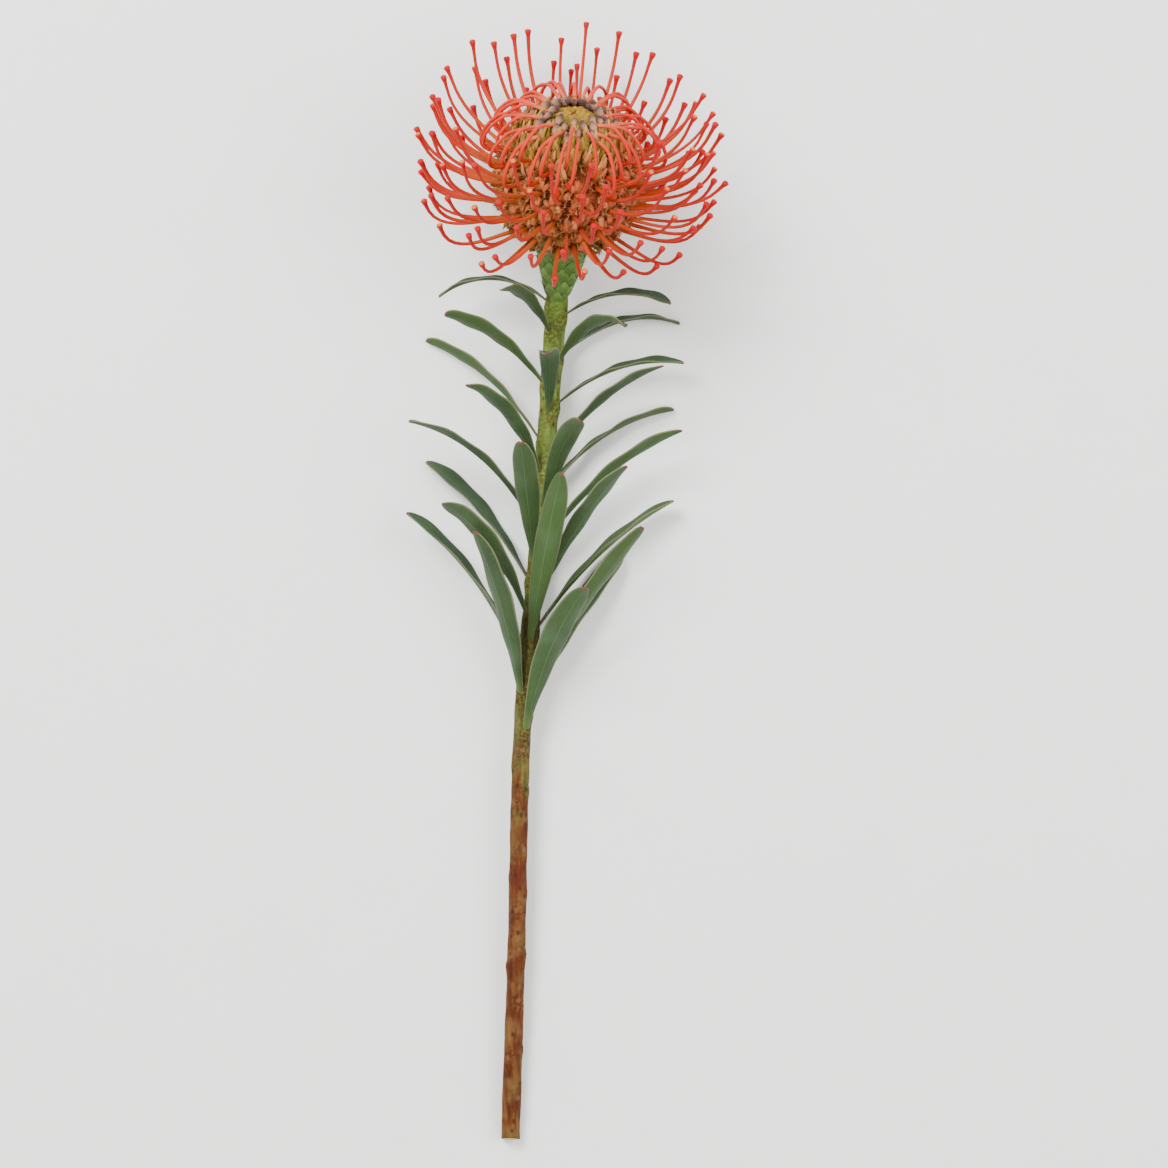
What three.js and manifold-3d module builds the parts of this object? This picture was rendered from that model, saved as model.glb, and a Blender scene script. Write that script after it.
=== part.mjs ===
// One cut stem of a coral-orange pincushion flower, lying on its back on a flat surface.
// Millimetres. +Y runs from the cut end to the flower head, +Z is up, and the surface is Z = 0.
// The stem is laid out first, then the head is built about the stem's end, and the leaves up its side.
// The stem, the bracts under the head, the open florets, the closed florets and each leaf are separate solids.

import * as THREE from "three";
import { mergeVertices } from "three/addons/utils/BufferGeometryUtils.js";
import Module from "manifold-3d";

const wasm = await Module();
wasm.setup();

// Driving dimensions of the stem
const STEM_LENGTH = 412; // along the stem, from the cut end to the base of the florets
const STEM_RADIUS = 4.0;
const STEM_SIDES = 8;
const STEM_STEP = 11; // between two rings of the stem
const CUT_END = [-25.5, -252.3, 4.0]; // centre of the cut
const CUT_SLANT = 14; // degrees between the cut and a square one
const PITCH_AT_CUT = 3.6; // degrees that the stem climbs at the cut
const PITCH_AT_NECK = -1.0; // and just below the neck
const PITCH_OF_HEAD = 34; // and through the head
const NECK_BEND = [346, 400]; // where along the stem the neck bends up
const YAWS = [1.2, 5.0]; // degrees that the stem leans towards +X, in its lower and its upper part
const YAW_SWAY = 1.0; // degrees of slow sway on either side
const YAW_SWAY_LENGTH = 190;
const NODE_ZIGZAG = 1.6; // degrees of kink from one leaf to the next

// Driving dimensions of the leaves
const LEAF_COUNT = 26;
const FIRST_LEAF_AT = 178; // along the stem
const LAST_LEAF_AT = 379;
const LEAF_TURN = 137.5; // degrees round the stem from one leaf to the next
const LEAF_TURN_START = 40;
const LEAF_SPLAY = 0.66; // share of its turn that a leaf keeps, as those below are pushed aside
const LEAF_LENGTHS = [86, 77, 58]; // lowest, middle and highest leaf
const LEAF_HALF_WIDTHS = [6.6, 5.4, 4.0];
const LEAF_RISE = [26, 34, 48]; // degrees between the leaf's foot and the stem
const LEAF_ARCH = [14, 40, 66]; // degrees that the leaf bends outwards over its length
const LEAF_THICK = 0.9;
const LEAF_EDGE_THICK = 0.62;
const LEAF_FOLD = 0.16; // height of the raised edges, as a share of the width
const LEAF_STEPS = 7;
const LEAF_CLEAR = 0.8; // lowest edge above the surface

// Driving dimensions of the flower head, in its own frame: W up its axis from the base of the florets
const DOME_CENTRE = 32;
const DOME_RADIUS = 32;
const DOME_UP = 33; // from the centre to the top
const DOME_DOWN = 33;
const BASE_RADIUS = 9.5; // of the dome where it sits on the bracts
const BASE_SIDES = 12;
const PEAK = 1.3; // of each floret's bump above the dome, and of the hollows between them below it
const HOLLOW = 2.6;
const FLORET_COUNT = 184;
const FLORET_TURN = 137.508;
const LOWEST_FLORET = 134; // degrees from the head's top
const OPEN_FROM = 70; // florets further than this from the top have sprung open
const BOWED_FROM = 46; // and closed ones further than this have a bowed style
const STYLE_RADIUS = 0.95;
const STYLE_LENGTHS = [47, 41]; // beyond the dome, of the highest and the lowest open floret
const STYLE_START = [34, -14]; // degrees above the plane across the head where a style leaves the dome
const STYLE_END = [84, 74]; // and at its tip
const STYLE_CURL = [1.5, 3.0]; // how late along the style its bend comes
const STYLE_FLARE = 16; // degrees that the tip turns back outwards
const STYLE_STEPS = 4;
const TIP_RADIUS = 1.4;
const TIP_LENGTH = 3.4;
const TUBE_RADIUS = 1.5; // of the sheath round the foot of a style
const TUBE_LENGTH = 5;
const ROOT_DEPTH = 5;
const BOW_STEPS = 7;
const BOW_BULGE = [5, 14]; // how far a bow stands off the dome, near the top and at the open florets
const BOW_DROP = 7; // degrees that a bow dips before it climbs
const KNOB_RING = [13, 31]; // degrees from the top of the first and the last knob
const BUD_GATHER = 0.3; // share of its floret's distance from the top that a bud inside that ring keeps
const KNOB_RADIUS = 2.4;
const KNOB_LENGTH = 5;
const KNOB_STAND = 2.2; // above the dome
const SHEATH_SPAN = 17; // degrees of the dome that a closed sheath lies along
const CLOSED_TO = 42; // degrees from the top where the closed florets' own mound ends
const PRESS = 1.0; // softness of the bend where styles lie on the surface

// Driving dimensions of the bracts
const NECK_LENGTH = 27;
const NECK_RADII = [4.9, 8.6, 11.6]; // at its foot, its middle and its rim
const BRACT_COUNT = 36;
const BRACT_LENGTH = 7.4;
const BRACT_HALF_WIDTH = 3.0;
const BRACT_STAND = 1.1;

const GAP = 0.35; // between pieces that touch
const MERGE = 1e-4;
const TRIM = 0.45; // shortest edge kept where strands cross

const rad = THREE.MathUtils.degToRad;
const lerp = THREE.MathUtils.lerp;
const smoothstep = THREE.MathUtils.smoothstep;

// A fixed draw from 0 to 1 for item n, one for each purpose k.
function vary(n, k) {
  const s = Math.sin(n * 12.9898 + k * 78.233) * 43758.5453;
  return s - Math.floor(s);
}

const swing = (n, k) => 2 * vary(n, k) - 1;

// Value at share q between a first, a middle and a last one.
function through(values, q) {
  return q < 0.5 ? lerp(values[0], values[1], 2 * q) : lerp(values[1], values[2], 2 * q - 1);
}

// Larger of z and floor, with a rounded corner of the given softness.
function rest(z, floor, softness) {
  return floor + softness * Math.log1p(Math.exp((z - floor) / softness));
}

// Solids

// Closed solid through rings of points, each ring listed the same way round, with its ends filled.
function loft(rings) {
  const sides = rings[0].length;
  const points = [];
  const faces = [];
  rings.forEach((ring) => ring.forEach((p) => points.push(p.x, p.y, p.z)));
  for (let i = 0; i + 1 < rings.length; i += 1) {
    for (let j = 0; j < sides; j += 1) {
      const a = i * sides + j;
      const b = i * sides + ((j + 1) % sides);
      faces.push(a, b, b + sides, a, b + sides, a + sides);
    }
  }
  const last = (rings.length - 1) * sides;
  for (let j = 1; j + 1 < sides; j += 1) {
    faces.push(0, j + 1, j);
    faces.push(last, last + j, last + j + 1);
  }
  const geometry = new THREE.BufferGeometry();
  geometry.setAttribute("position", new THREE.Float32BufferAttribute(points, 3));
  geometry.setIndex(faces);
  return solidOf(geometry);
}

function solidOf(geometry) {
  const bare = geometry.clone();
  bare.deleteAttribute("normal");
  bare.deleteAttribute("uv");
  const merged = mergeVertices(bare, MERGE);
  return new wasm.Manifold(
    new wasm.Mesh({
      numProp: 3,
      vertProperties: merged.attributes.position.array,
      triVerts: new Uint32Array(merged.index.array),
    }),
  );
}

function join(solids) {
  return wasm.Manifold.union(solids);
}

// Largest body of a solid, so that a scrap cut loose is dropped.
function largest(solid) {
  const bodies = solid.decompose();
  return bodies.reduce((best, body) => (body.volume() > best.volume() ? body : best));
}

// The largest body without its shortest edges, which the joining of crossing strands leaves behind.
// An edge is closed up only where just two faces meet on it, so that the surface stays closed.
function trimmed(solid, limit) {
  const { vertProperties: at, triVerts } = largest(solid).getMesh();
  const facesOf = Array.from({ length: at.length / 3 }, () => new Set());
  const faces = new Set();
  for (let i = 0; i < triVerts.length; i += 3) {
    const face = Array.from(triVerts.slice(i, i + 3));
    faces.add(face);
    face.forEach((v) => facesOf[v].add(face));
  }
  const length = (a, b) =>
    Math.hypot(at[3 * a] - at[3 * b], at[3 * a + 1] - at[3 * b + 1], at[3 * a + 2] - at[3 * b + 2]);
  const around = (v) => new Set([...facesOf[v]].flat().filter((other) => other !== v));
  const closeUp = (a, b) => {
    const ofA = around(a);
    const shared = [...around(b)].filter((v) => ofA.has(v));
    if (shared.length !== 2) return false;
    [...facesOf[b]].forEach((face) => {
      if (face.includes(a)) {
        faces.delete(face);
        face.forEach((v) => facesOf[v].delete(face));
      } else {
        face[face.indexOf(b)] = a;
        facesOf[a].add(face);
      }
    });
    facesOf[b].clear();
    return true;
  };
  let short = true;
  while (short) {
    short = false;
    for (const face of [...faces]) {
      if (!faces.has(face)) continue;
      for (let e = 0; e < 3 && faces.has(face); e += 1) {
        const a = face[e];
        const b = face[(e + 1) % 3];
        if (length(a, b) < limit && closeUp(a, b)) short = true;
      }
    }
  }
  const kept = new Uint32Array([...faces].flat());
  return largest(new wasm.Manifold(new wasm.Mesh({ numProp: 3, vertProperties: at, triVerts: kept })));
}

function geometryOf(solid) {
  const mesh = solid.getMesh();
  const geometry = new THREE.BufferGeometry();
  geometry.setAttribute("position", new THREE.Float32BufferAttribute(mesh.vertProperties, 3));
  geometry.setIndex(new THREE.BufferAttribute(mesh.triVerts, 1));
  geometry.computeVertexNormals();
  return geometry;
}

function named(name, solid, material) {
  const mesh = new THREE.Mesh(geometryOf(solid), material);
  mesh.name = name;
  return mesh;
}

// Ring of points round a centre. The first point lies along u, and the ring turns towards v.
function ringAt(centre, u, v, radiusU, radiusV, sides, turn = 0) {
  return Array.from({ length: sides }, (_, j) => {
    const angle = turn + (2 * Math.PI * j) / sides;
    return centre
      .clone()
      .addScaledVector(u, radiusU * Math.cos(angle))
      .addScaledVector(v, radiusV * Math.sin(angle));
  });
}

// The stem's line

function pitchAt(s) {
  const along = lerp(PITCH_AT_CUT, PITCH_AT_NECK, Math.min(s / NECK_BEND[0], 1));
  return lerp(along, PITCH_OF_HEAD, smoothstep(s, NECK_BEND[0], NECK_BEND[1]));
}

function yawAt(s) {
  const lean = lerp(YAWS[0], YAWS[1], smoothstep(s, 60, 300));
  const sway = YAW_SWAY * Math.sin((2 * Math.PI * s) / YAW_SWAY_LENGTH);
  const zigzag = NODE_ZIGZAG * Math.sin((2 * Math.PI * s) / (2.4 * leafPitch()));
  const leafy = smoothstep(s, FIRST_LEAF_AT - 40, FIRST_LEAF_AT);
  return lean + sway + zigzag * leafy * (1 - smoothstep(s, NECK_BEND[0], NECK_BEND[1]));
}

function leafPitch() {
  return (LAST_LEAF_AT - FIRST_LEAF_AT) / (LEAF_COUNT - 1);
}

function directionAt(s) {
  const pitch = rad(pitchAt(s));
  const yaw = rad(yawAt(s));
  return new THREE.Vector3(
    Math.sin(yaw) * Math.cos(pitch),
    Math.cos(yaw) * Math.cos(pitch),
    Math.sin(pitch),
  );
}

// The line is walked in steps of 1 mm.
const stemLine = [new THREE.Vector3(...CUT_END)];
for (let s = 0; s < STEM_LENGTH; s += 1) {
  stemLine.push(stemLine[s].clone().add(directionAt(s + 0.5)));
}

// Point on the stem's line at distance s, with its direction and the directions up and right of it.
function stemAt(s) {
  const i = Math.min(Math.floor(s), STEM_LENGTH - 1);
  const point = stemLine[i].clone().lerp(stemLine[i + 1], s - i);
  const along = directionAt(s);
  const right = along.clone().cross(new THREE.Vector3(0, 0, 1)).normalize();
  const up = right.clone().cross(along).normalize();
  return { point, along, up, right };
}

function leafAt(k) {
  const q = k / (LEAF_COUNT - 1);
  const s = lerp(FIRST_LEAF_AT, LAST_LEAF_AT, q) + 1.6 * swing(k, 1);
  // Turn from straight up, brought into -180 to 180 and then pushed away from straight down.
  const whole = LEAF_TURN_START + LEAF_TURN * k + 9 * swing(k, 2);
  const turn = LEAF_SPLAY * (((((whole + 180) % 360) + 360) % 360) - 180);
  return { q, s, turn: rad(turn) };
}

// The stem

function stemRadius(s) {
  const towardsNeck = smoothstep(s, 280, 385);
  const foot = 0.25 * (1 - smoothstep(s, 0, 120));
  return STEM_RADIUS + foot + 0.9 * towardsNeck;
}

// Swelling under each leaf's foot.
function stemSwell(s, angle) {
  let swell = 0;
  for (let k = 0; k < LEAF_COUNT; k += 1) {
    const leaf = leafAt(k);
    const ds = (s - leaf.s + 2) / 4.5;
    const da = Math.atan2(Math.sin(angle - leaf.turn), Math.cos(angle - leaf.turn)) / 0.8;
    swell += 0.75 * Math.exp(-ds * ds - da * da);
  }
  return swell;
}

function stemSolid(grow, to) {
  const rings = [];
  const count = Math.round(to / STEM_STEP);
  for (let i = 0; i <= count; i += 1) {
    const s = (to * i) / count;
    const { point, along, up, right } = stemAt(s);
    const slant = i === 0 ? Math.tan(rad(CUT_SLANT)) : 0;
    rings.push(
      Array.from({ length: STEM_SIDES }, (_, j) => {
        const angle = (2 * Math.PI * (j + 0.5)) / STEM_SIDES;
        const radius = stemRadius(s) + stemSwell(s, angle) + grow;
        const p = point
          .clone()
          .addScaledVector(up, radius * Math.cos(angle))
          .addScaledVector(right, radius * Math.sin(angle))
          .addScaledVector(along, slant * radius * Math.cos(angle));
        p.z = Math.max(p.z, 0);
        return p;
      }),
    );
  }
  return loft(rings);
}

// The leaves

// Half-width of a leaf at share q of its length: a narrow foot, widest past the middle, a round tip.
function leafOutline(q) {
  const widest = 0.62;
  const foot = 0.24;
  if (q < widest) return foot + (1 - foot) * Math.sin((Math.PI / 2) * (q / widest)) ** 1.35;
  return Math.sqrt(Math.max(0, 1 - ((q - widest) / (1.02 - widest)) ** 2.5));
}

function leafShape(k) {
  const { q, s, turn } = leafAt(k);
  return {
    s,
    turn,
    length: through(LEAF_LENGTHS, q) * (1 + 0.09 * swing(k, 3)),
    halfWidth: through(LEAF_HALF_WIDTHS, q) * (1 + 0.1 * swing(k, 4)),
    rise: rad(through(LEAF_RISE, q) + 5 * swing(k, 5)),
    arch: rad(through(LEAF_ARCH, q) + 20 * swing(k, 63)),
    lean: rad(11 * swing(k, 7)),
    twist: rad(34 * swing(k, 8)),
  };
}

// The leaf's middle line from the stem's axis outwards, with the blade's width and facing directions.
function leafLine(k, steps) {
  const shape = leafShape(k);
  const at = stemAt(shape.s);
  const out = at.up
    .clone()
    .multiplyScalar(Math.cos(shape.turn))
    .addScaledVector(at.right, Math.sin(shape.turn));
  const across = out.clone().cross(at.along).normalize();
  const sunk = stemRadius(shape.s) / Math.sin(shape.rise);
  const span = shape.length + sunk;
  const fine = 6; // sub-steps of the walk between two rings
  const point = at.point.clone();
  const line = [];
  for (let i = 0; i <= steps * fine; i += 1) {
    const walked = (span * i) / (steps * fine);
    const q = Math.max(0, (walked - sunk) / shape.length);
    const rise = shape.rise + shape.arch * q ** 1.2;
    const lean = shape.lean * q;
    const d = at.along
      .clone()
      .multiplyScalar(Math.cos(rise))
      .addScaledVector(out, Math.sin(rise))
      .addScaledVector(across, Math.sin(lean))
      .normalize();
    const facing = at.along
      .clone()
      .multiplyScalar(Math.sin(rise))
      .addScaledVector(out, -Math.cos(rise));
    const width = across.clone().applyAxisAngle(d, shape.twist * q);
    facing.copy(width).cross(d).normalize();
    if (i % fine === 0) line.push({ q, point: point.clone(), d, width, facing });
    point.addScaledVector(d, span / (steps * fine));
  }
  return { shape, line };
}

function leafSolid(k) {
  const { shape, line } = leafLine(k, LEAF_STEPS);
  const rings = line.map(({ q, point, width, facing }) => {
    const half = shape.halfWidth * leafOutline(q);
    const low = half * Math.abs(width.z) + LEAF_THICK * Math.abs(facing.z) + LEAF_CLEAR;
    const centre = point.clone();
    centre.z = rest(point.z, low, 1.5);
    const fold = 2 * half * LEAF_FOLD;
    const place = (x, lift) =>
      centre.clone().addScaledVector(width, x).addScaledVector(facing, lift);
    return [
      place(-half, fold + LEAF_EDGE_THICK / 2),
      place(0, LEAF_THICK / 2),
      place(half, fold + LEAF_EDGE_THICK / 2),
      place(half, fold - LEAF_EDGE_THICK / 2),
      place(0, -LEAF_THICK / 2),
      place(-half, fold - LEAF_EDGE_THICK / 2),
    ];
  });
  return loft(rings);
}

// The head's own frame

const headFrame = stemAt(STEM_LENGTH);

// Point of the head at height w up its axis and distance r from it, at angle phi from straight up.
function headPoint(w, r, phi) {
  return headFrame.point
    .clone()
    .addScaledVector(headFrame.along, w)
    .addScaledVector(headFrame.up, r * Math.cos(phi))
    .addScaledVector(headFrame.right, r * Math.sin(phi));
}

// Direction that rises by angle gamma from the plane across the head, at angle phi.
function headDirection(gamma, phi) {
  return headPoint(Math.sin(gamma), Math.cos(gamma), phi).sub(headFrame.point);
}

// Height and radius on the dome at angle theta from the head's top, stand outside its surface.
function domeAt(theta, stand = 0) {
  const upright = Math.cos(theta) > 0 ? DOME_UP : DOME_DOWN;
  return {
    w: DOME_CENTRE + (upright + stand) * Math.cos(theta),
    r: (DOME_RADIUS + stand) * Math.sin(theta),
  };
}

// Florets sit in one spiral, each with the same share of the dome.
function floretAt(n) {
  const share = (n + 0.5) / FLORET_COUNT;
  const theta = Math.acos(1 - share * (1 - Math.cos(rad(LOWEST_FLORET))));
  const phi = rad(FLORET_TURN * n + 4 * swing(n, 11));
  const open = THREE.MathUtils.radToDeg(theta) + 5 * swing(n, 12) > OPEN_FROM;
  return { theta, phi, open };
}

// Direction round the head's axis at angle phi.
function headSide(phi) {
  return headFrame.up
    .clone()
    .multiplyScalar(-Math.sin(phi))
    .addScaledVector(headFrame.right, Math.cos(phi));
}

// Tube through points with a radius at each, pressed onto the surface where it would go below it.
function strand(points, radii, sides, side) {
  const pressed = points.map(
    (p, i) => new THREE.Vector3(p.x, p.y, rest(p.z, 0.6 * radii[i], PRESS)),
  );
  const rings = pressed.map((p, i) => {
    const before = pressed[Math.max(i - 1, 0)];
    const after = pressed[Math.min(i + 1, pressed.length - 1)];
    const d = after.clone().sub(before).normalize();
    const u = side.clone().addScaledVector(d, -side.dot(d)).normalize();
    const v = d.clone().cross(u);
    const ring = ringAt(p, u, v, radii[i], radii[i], sides, Math.PI / 2);
    ring.forEach((q) => {
      q.z = Math.max(q.z, 0);
    });
    return ring;
  });
  return loft(rings);
}

// An open floret: the sheath at its foot, its style curving up, and the knob at the tip.
function openFloret(n) {
  const { theta, phi } = floretAt(n);
  const share = (THREE.MathUtils.radToDeg(theta) - OPEN_FROM) / (LOWEST_FLORET - OPEN_FROM);
  const q0 = THREE.MathUtils.clamp(share, 0, 1);
  const start = rad(lerp(STYLE_START[0], STYLE_START[1], q0) + 5 * swing(n, 13));
  const end = rad(lerp(STYLE_END[0], STYLE_END[1], q0) + 9 * swing(n, 14));
  const curl = lerp(STYLE_CURL[0], STYLE_CURL[1], q0);
  const length = lerp(STYLE_LENGTHS[0], STYLE_LENGTHS[1], q0) * (1 + 0.08 * swing(n, 15));
  const sway = rad(12 * swing(n, 16));
  const { w, r } = domeAt(theta);
  const mouth = headPoint(w, r, phi);
  const d0 = headDirection(start, phi);
  const points = [
    mouth.clone().addScaledVector(d0, -ROOT_DEPTH),
    mouth.clone().addScaledVector(d0, TUBE_LENGTH),
  ];
  const radii = [TUBE_RADIUS, STYLE_RADIUS * 1.15];
  const bend = (q) =>
    start + (end - start) * q ** curl - rad(STYLE_FLARE) * Math.max(0, (q - 0.8) / 0.2) ** 2;
  const fine = 5;
  const point = points[1].clone();
  const run = length - TUBE_LENGTH - TIP_LENGTH;
  for (let i = 1; i <= STYLE_STEPS * fine; i += 1) {
    const q = (i - 0.5) / (STYLE_STEPS * fine);
    point.addScaledVector(headDirection(bend(q), phi + sway * q), run / (STYLE_STEPS * fine));
    if (i % fine === 0) {
      points.push(point.clone());
      radii.push(STYLE_RADIUS);
    }
  }
  const dTip = headDirection(bend(1), phi + sway);
  points.push(point.clone().addScaledVector(dTip, TIP_LENGTH * 0.6));
  radii.push(TIP_RADIUS);
  points.push(point.clone().addScaledVector(dTip, TIP_LENGTH));
  radii.push(TIP_RADIUS * 0.45);
  return strand(points, radii, 3, headSide(phi));
}

// Where the tip of a closed floret is gathered to: a ring of knobs, and the youngest buds inside it.
function knobAt(n) {
  const { theta, phi } = floretAt(n);
  const bowed = theta > rad(BOWED_FROM);
  const share = (theta - rad(BOWED_FROM)) / rad(OPEN_FROM - BOWED_FROM);
  const ring = rad(lerp(KNOB_RING[0], KNOB_RING[1], Math.min(share, 1)));
  return { theta: bowed ? ring : theta * BUD_GATHER, phi: phi + rad(5 * swing(n, 17)), bowed };
}

// The bowed style of a closed floret, from its foot on the dome up and over to its knob.
function bowedStyle(n) {
  const { theta, phi } = floretAt(n);
  const knob = knobAt(n);
  const share = theta / rad(OPEN_FROM);
  const bulge = lerp(BOW_BULGE[0], BOW_BULGE[1], Math.min(share, 1)) * (1 + 0.18 * swing(n, 18));
  const points = [];
  for (let i = 0; i <= BOW_STEPS; i += 1) {
    const q = i / BOW_STEPS;
    const drop = rad(BOW_DROP) * Math.sin(Math.PI * Math.min(1, 1.6 * q));
    const angle = lerp(theta, knob.theta + rad(4), q ** 1.35) + drop;
    const stand = bulge * Math.sin(Math.PI * q ** 0.85) + lerp(-ROOT_DEPTH, KNOB_STAND, q ** 0.7);
    const { w, r } = domeAt(angle, stand);
    points.push(headPoint(w, r, lerp(phi, knob.phi, q)));
  }
  return strand(points, points.map(() => STYLE_RADIUS), 3, headSide(phi));
}

// A closed floret's hairy sheath, leaning up the dome to the knob that still holds the style's tip.
// The youngest have no knob yet.
function closedSheath(n, grow) {
  const knob = knobAt(n);
  const foot = domeAt(knob.theta + rad(SHEATH_SPAN), -1.6);
  const neck = domeAt(knob.theta + rad(3), knob.bowed ? KNOB_STAND : KNOB_STAND * 0.4);
  const top = headPoint(neck.w, neck.r, knob.phi);
  const lean = headDirection(rad(90) - knob.theta * 0.35, knob.phi);
  const length = knob.bowed ? KNOB_LENGTH : KNOB_LENGTH * 0.4;
  const points = [
    headPoint(foot.w, foot.r, knob.phi),
    top,
    top.clone().addScaledVector(lean, length * 0.55),
    top.clone().addScaledVector(lean, length + grow),
  ];
  const radii = knob.bowed ? [2.0, 1.6, KNOB_RADIUS, 0.8] : [2.2, 1.9, 1.5, 0.6];
  return strand(points, radii.map((radius) => radius + 1.6 * grow), 3, headSide(knob.phi));
}

const florets = Array.from({ length: FLORET_COUNT }, (_, n) => n);
const openOnes = florets.filter((n) => floretAt(n).open);
const closedOnes = florets.filter((n) => !floretAt(n).open);
const bowedOnes = closedOnes.filter((n) => floretAt(n).theta > rad(BOWED_FROM));

// Body of revolution about the head's axis through a profile of { w, r }, from its foot to its top.
function turned(profile, sides) {
  return loft(profile.map(({ w, r }) => ringAtHead(w, Math.max(r, 0.02), sides)));
}

function ringAtHead(w, r, sides) {
  return Array.from({ length: sides }, (_, j) => headPoint(w, r, (2 * Math.PI * j) / sides));
}

// Points of the mound that the florets stand out of, each with its direction from the centre.
function moundPoint(theta, phi, stand) {
  const direction = new THREE.Vector3(
    Math.sin(theta) * Math.cos(phi),
    Math.sin(theta) * Math.sin(phi),
    Math.cos(theta),
  );
  const { w, r } = domeAt(theta, stand);
  return { direction, place: headPoint(w, r, phi) };
}

// Triangles of the ball's skin through the given directions, as indices of them.
function skinOver(points) {
  const { vertProperties, triVerts } = wasm.Manifold.hull(
    points.map(({ direction }) => direction.toArray()),
  ).getMesh();
  const indices = [];
  for (let v = 0; v < vertProperties.length; v += 3) {
    const corner = new THREE.Vector3().fromArray(vertProperties, v);
    const nearness = points.map(({ direction }) => direction.dot(corner));
    indices.push(nearness.indexOf(Math.max(...nearness)));
  }
  return Array.from(triVerts, (v) => indices[v]);
}

// The mound itself: a bump at every floret and a hollow between every three, closed below by the rim
// that sits on the bracts.
function domeSolid() {
  const bumps = florets.map((n) => {
    const { theta, phi } = floretAt(n);
    return moundPoint(theta, phi, PEAK);
  });
  const faces = skinOver(bumps);
  const hollows = [];
  for (let i = 0; i < faces.length; i += 3) {
    const middle = new THREE.Vector3();
    faces.slice(i, i + 3).forEach((v) => middle.add(bumps[v].direction));
    middle.normalize();
    const theta = Math.acos(middle.z);
    if (theta < rad(LOWEST_FLORET + 3)) {
      hollows.push(moundPoint(theta, Math.atan2(middle.y, middle.x), -HOLLOW));
    }
  }
  const rim = Array.from({ length: BASE_SIDES }, (_, j) => {
    const phi = (2 * Math.PI * j) / BASE_SIDES;
    return { ...moundPoint(rad(158), phi, 0), place: headPoint(GAP, BASE_RADIUS, phi) };
  });
  const points = [...bumps, ...hollows, ...rim];
  const geometry = new THREE.BufferGeometry();
  const places = points.flatMap(({ place }) => place.toArray());
  geometry.setAttribute("position", new THREE.Float32BufferAttribute(places, 3));
  geometry.setIndex(skinOver(points));
  const { w } = domeAt(rad(CLOSED_TO));
  const down = headFrame.along.clone().negate();
  return solidOf(geometry).trimByPlane(down.toArray(), headPoint(w, 0, 0).dot(down));
}

function moundSolid(grow) {
  const edge = domeAt(rad(CLOSED_TO));
  const profile = [{ w: edge.w + GAP - grow, r: edge.r - 0.6 + grow }];
  [0.7, 0.35].forEach((share) => {
    const at = domeAt(rad(CLOSED_TO) * share, grow);
    profile.push({ w: at.w, r: at.r });
  });
  profile.push({ w: DOME_CENTRE + DOME_UP + grow, r: 0.4 });
  return turned(profile, 12);
}

// The closed florets stand on a flat, just above the one that the mound of open florets ends in.
function closedFlorets(grow) {
  const flat = headPoint(domeAt(rad(CLOSED_TO)).w + GAP - grow, 0, 0);
  const up = headFrame.along;
  const sheaths = closedOnes.map((n) => closedSheath(n, grow));
  return join([moundSolid(grow), ...sheaths]).trimByPlane(
    [up.x, up.y, up.z],
    flat.dot(up),
  );
}

// The neck and its bracts

function neckRadius(w) {
  return through(NECK_RADII, (w + NECK_LENGTH) / NECK_LENGTH);
}

// The neck follows the stem's line, and its bracts are pointed scales that lie up it.
function neckFrame(w) {
  return stemAt(STEM_LENGTH + w);
}

function bractSolid(n, grow) {
  const share = (n + 0.5) / BRACT_COUNT;
  const w = lerp(-NECK_LENGTH + 3, -2.5, share ** 0.8);
  const { point, along, up, right } = neckFrame(w);
  const phi = rad(FLORET_TURN * n);
  const out = up.clone().multiplyScalar(Math.cos(phi)).addScaledVector(right, Math.sin(phi));
  const side = along.clone().cross(out).normalize();
  const size = lerp(0.72, 1.12, share);
  const half = BRACT_HALF_WIDTH * size + grow;
  const reach = BRACT_LENGTH * size;
  const place = (along1, out1, side1) =>
    point
      .clone()
      .addScaledVector(along, along1)
      .addScaledVector(out, out1)
      .addScaledVector(side, side1)
      .toArray();
  const skin = neckRadius(w);
  const skinAtTip = neckRadius(Math.min(w + reach, 0));
  return wasm.Manifold.hull([
    place(-grow, skin - 1.4, 0.7 * half),
    place(-grow, skin - 1.4, -0.7 * half),
    place(reach * 0.3, skin - 0.7, half),
    place(reach * 0.3, skin - 0.7, -half),
    place(reach * 0.3, skin + BRACT_STAND * 0.6 + grow, 0),
    place(reach + grow, skinAtTip + BRACT_STAND + grow, 0),
    place(reach + grow, skinAtTip + BRACT_STAND - 1.3 - grow, 0),
  ]);
}

function neckSolid(grow) {
  const rings = [];
  const steps = 6;
  for (let i = 0; i <= steps; i += 1) {
    const w = lerp(-NECK_LENGTH, 0, i / steps);
    const { point, up, right } = neckFrame(w);
    const radius = neckRadius(w) + grow;
    rings.push(ringAt(point, up, right, radius, radius, 14));
  }
  return loft(rings);
}

function bractsSolid(grow) {
  return join([
    neckSolid(grow),
    ...Array.from({ length: BRACT_COUNT }, (_, n) => bractSolid(n, grow)),
  ]);
}

// Materials

const paint = (color, roughness) => new THREE.MeshStandardMaterial({ color, roughness, metalness: 0 });
const stemPaint = paint(0x8f9a4a, 0.7);
const leafPaint = paint(0x4f7048, 0.65);
const bractPaint = paint(0x76904f, 0.85);
const openPaint = paint(0xe8603c, 0.55);
const closedPaint = paint(0xc9b48a, 0.85);

// The assembly

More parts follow.
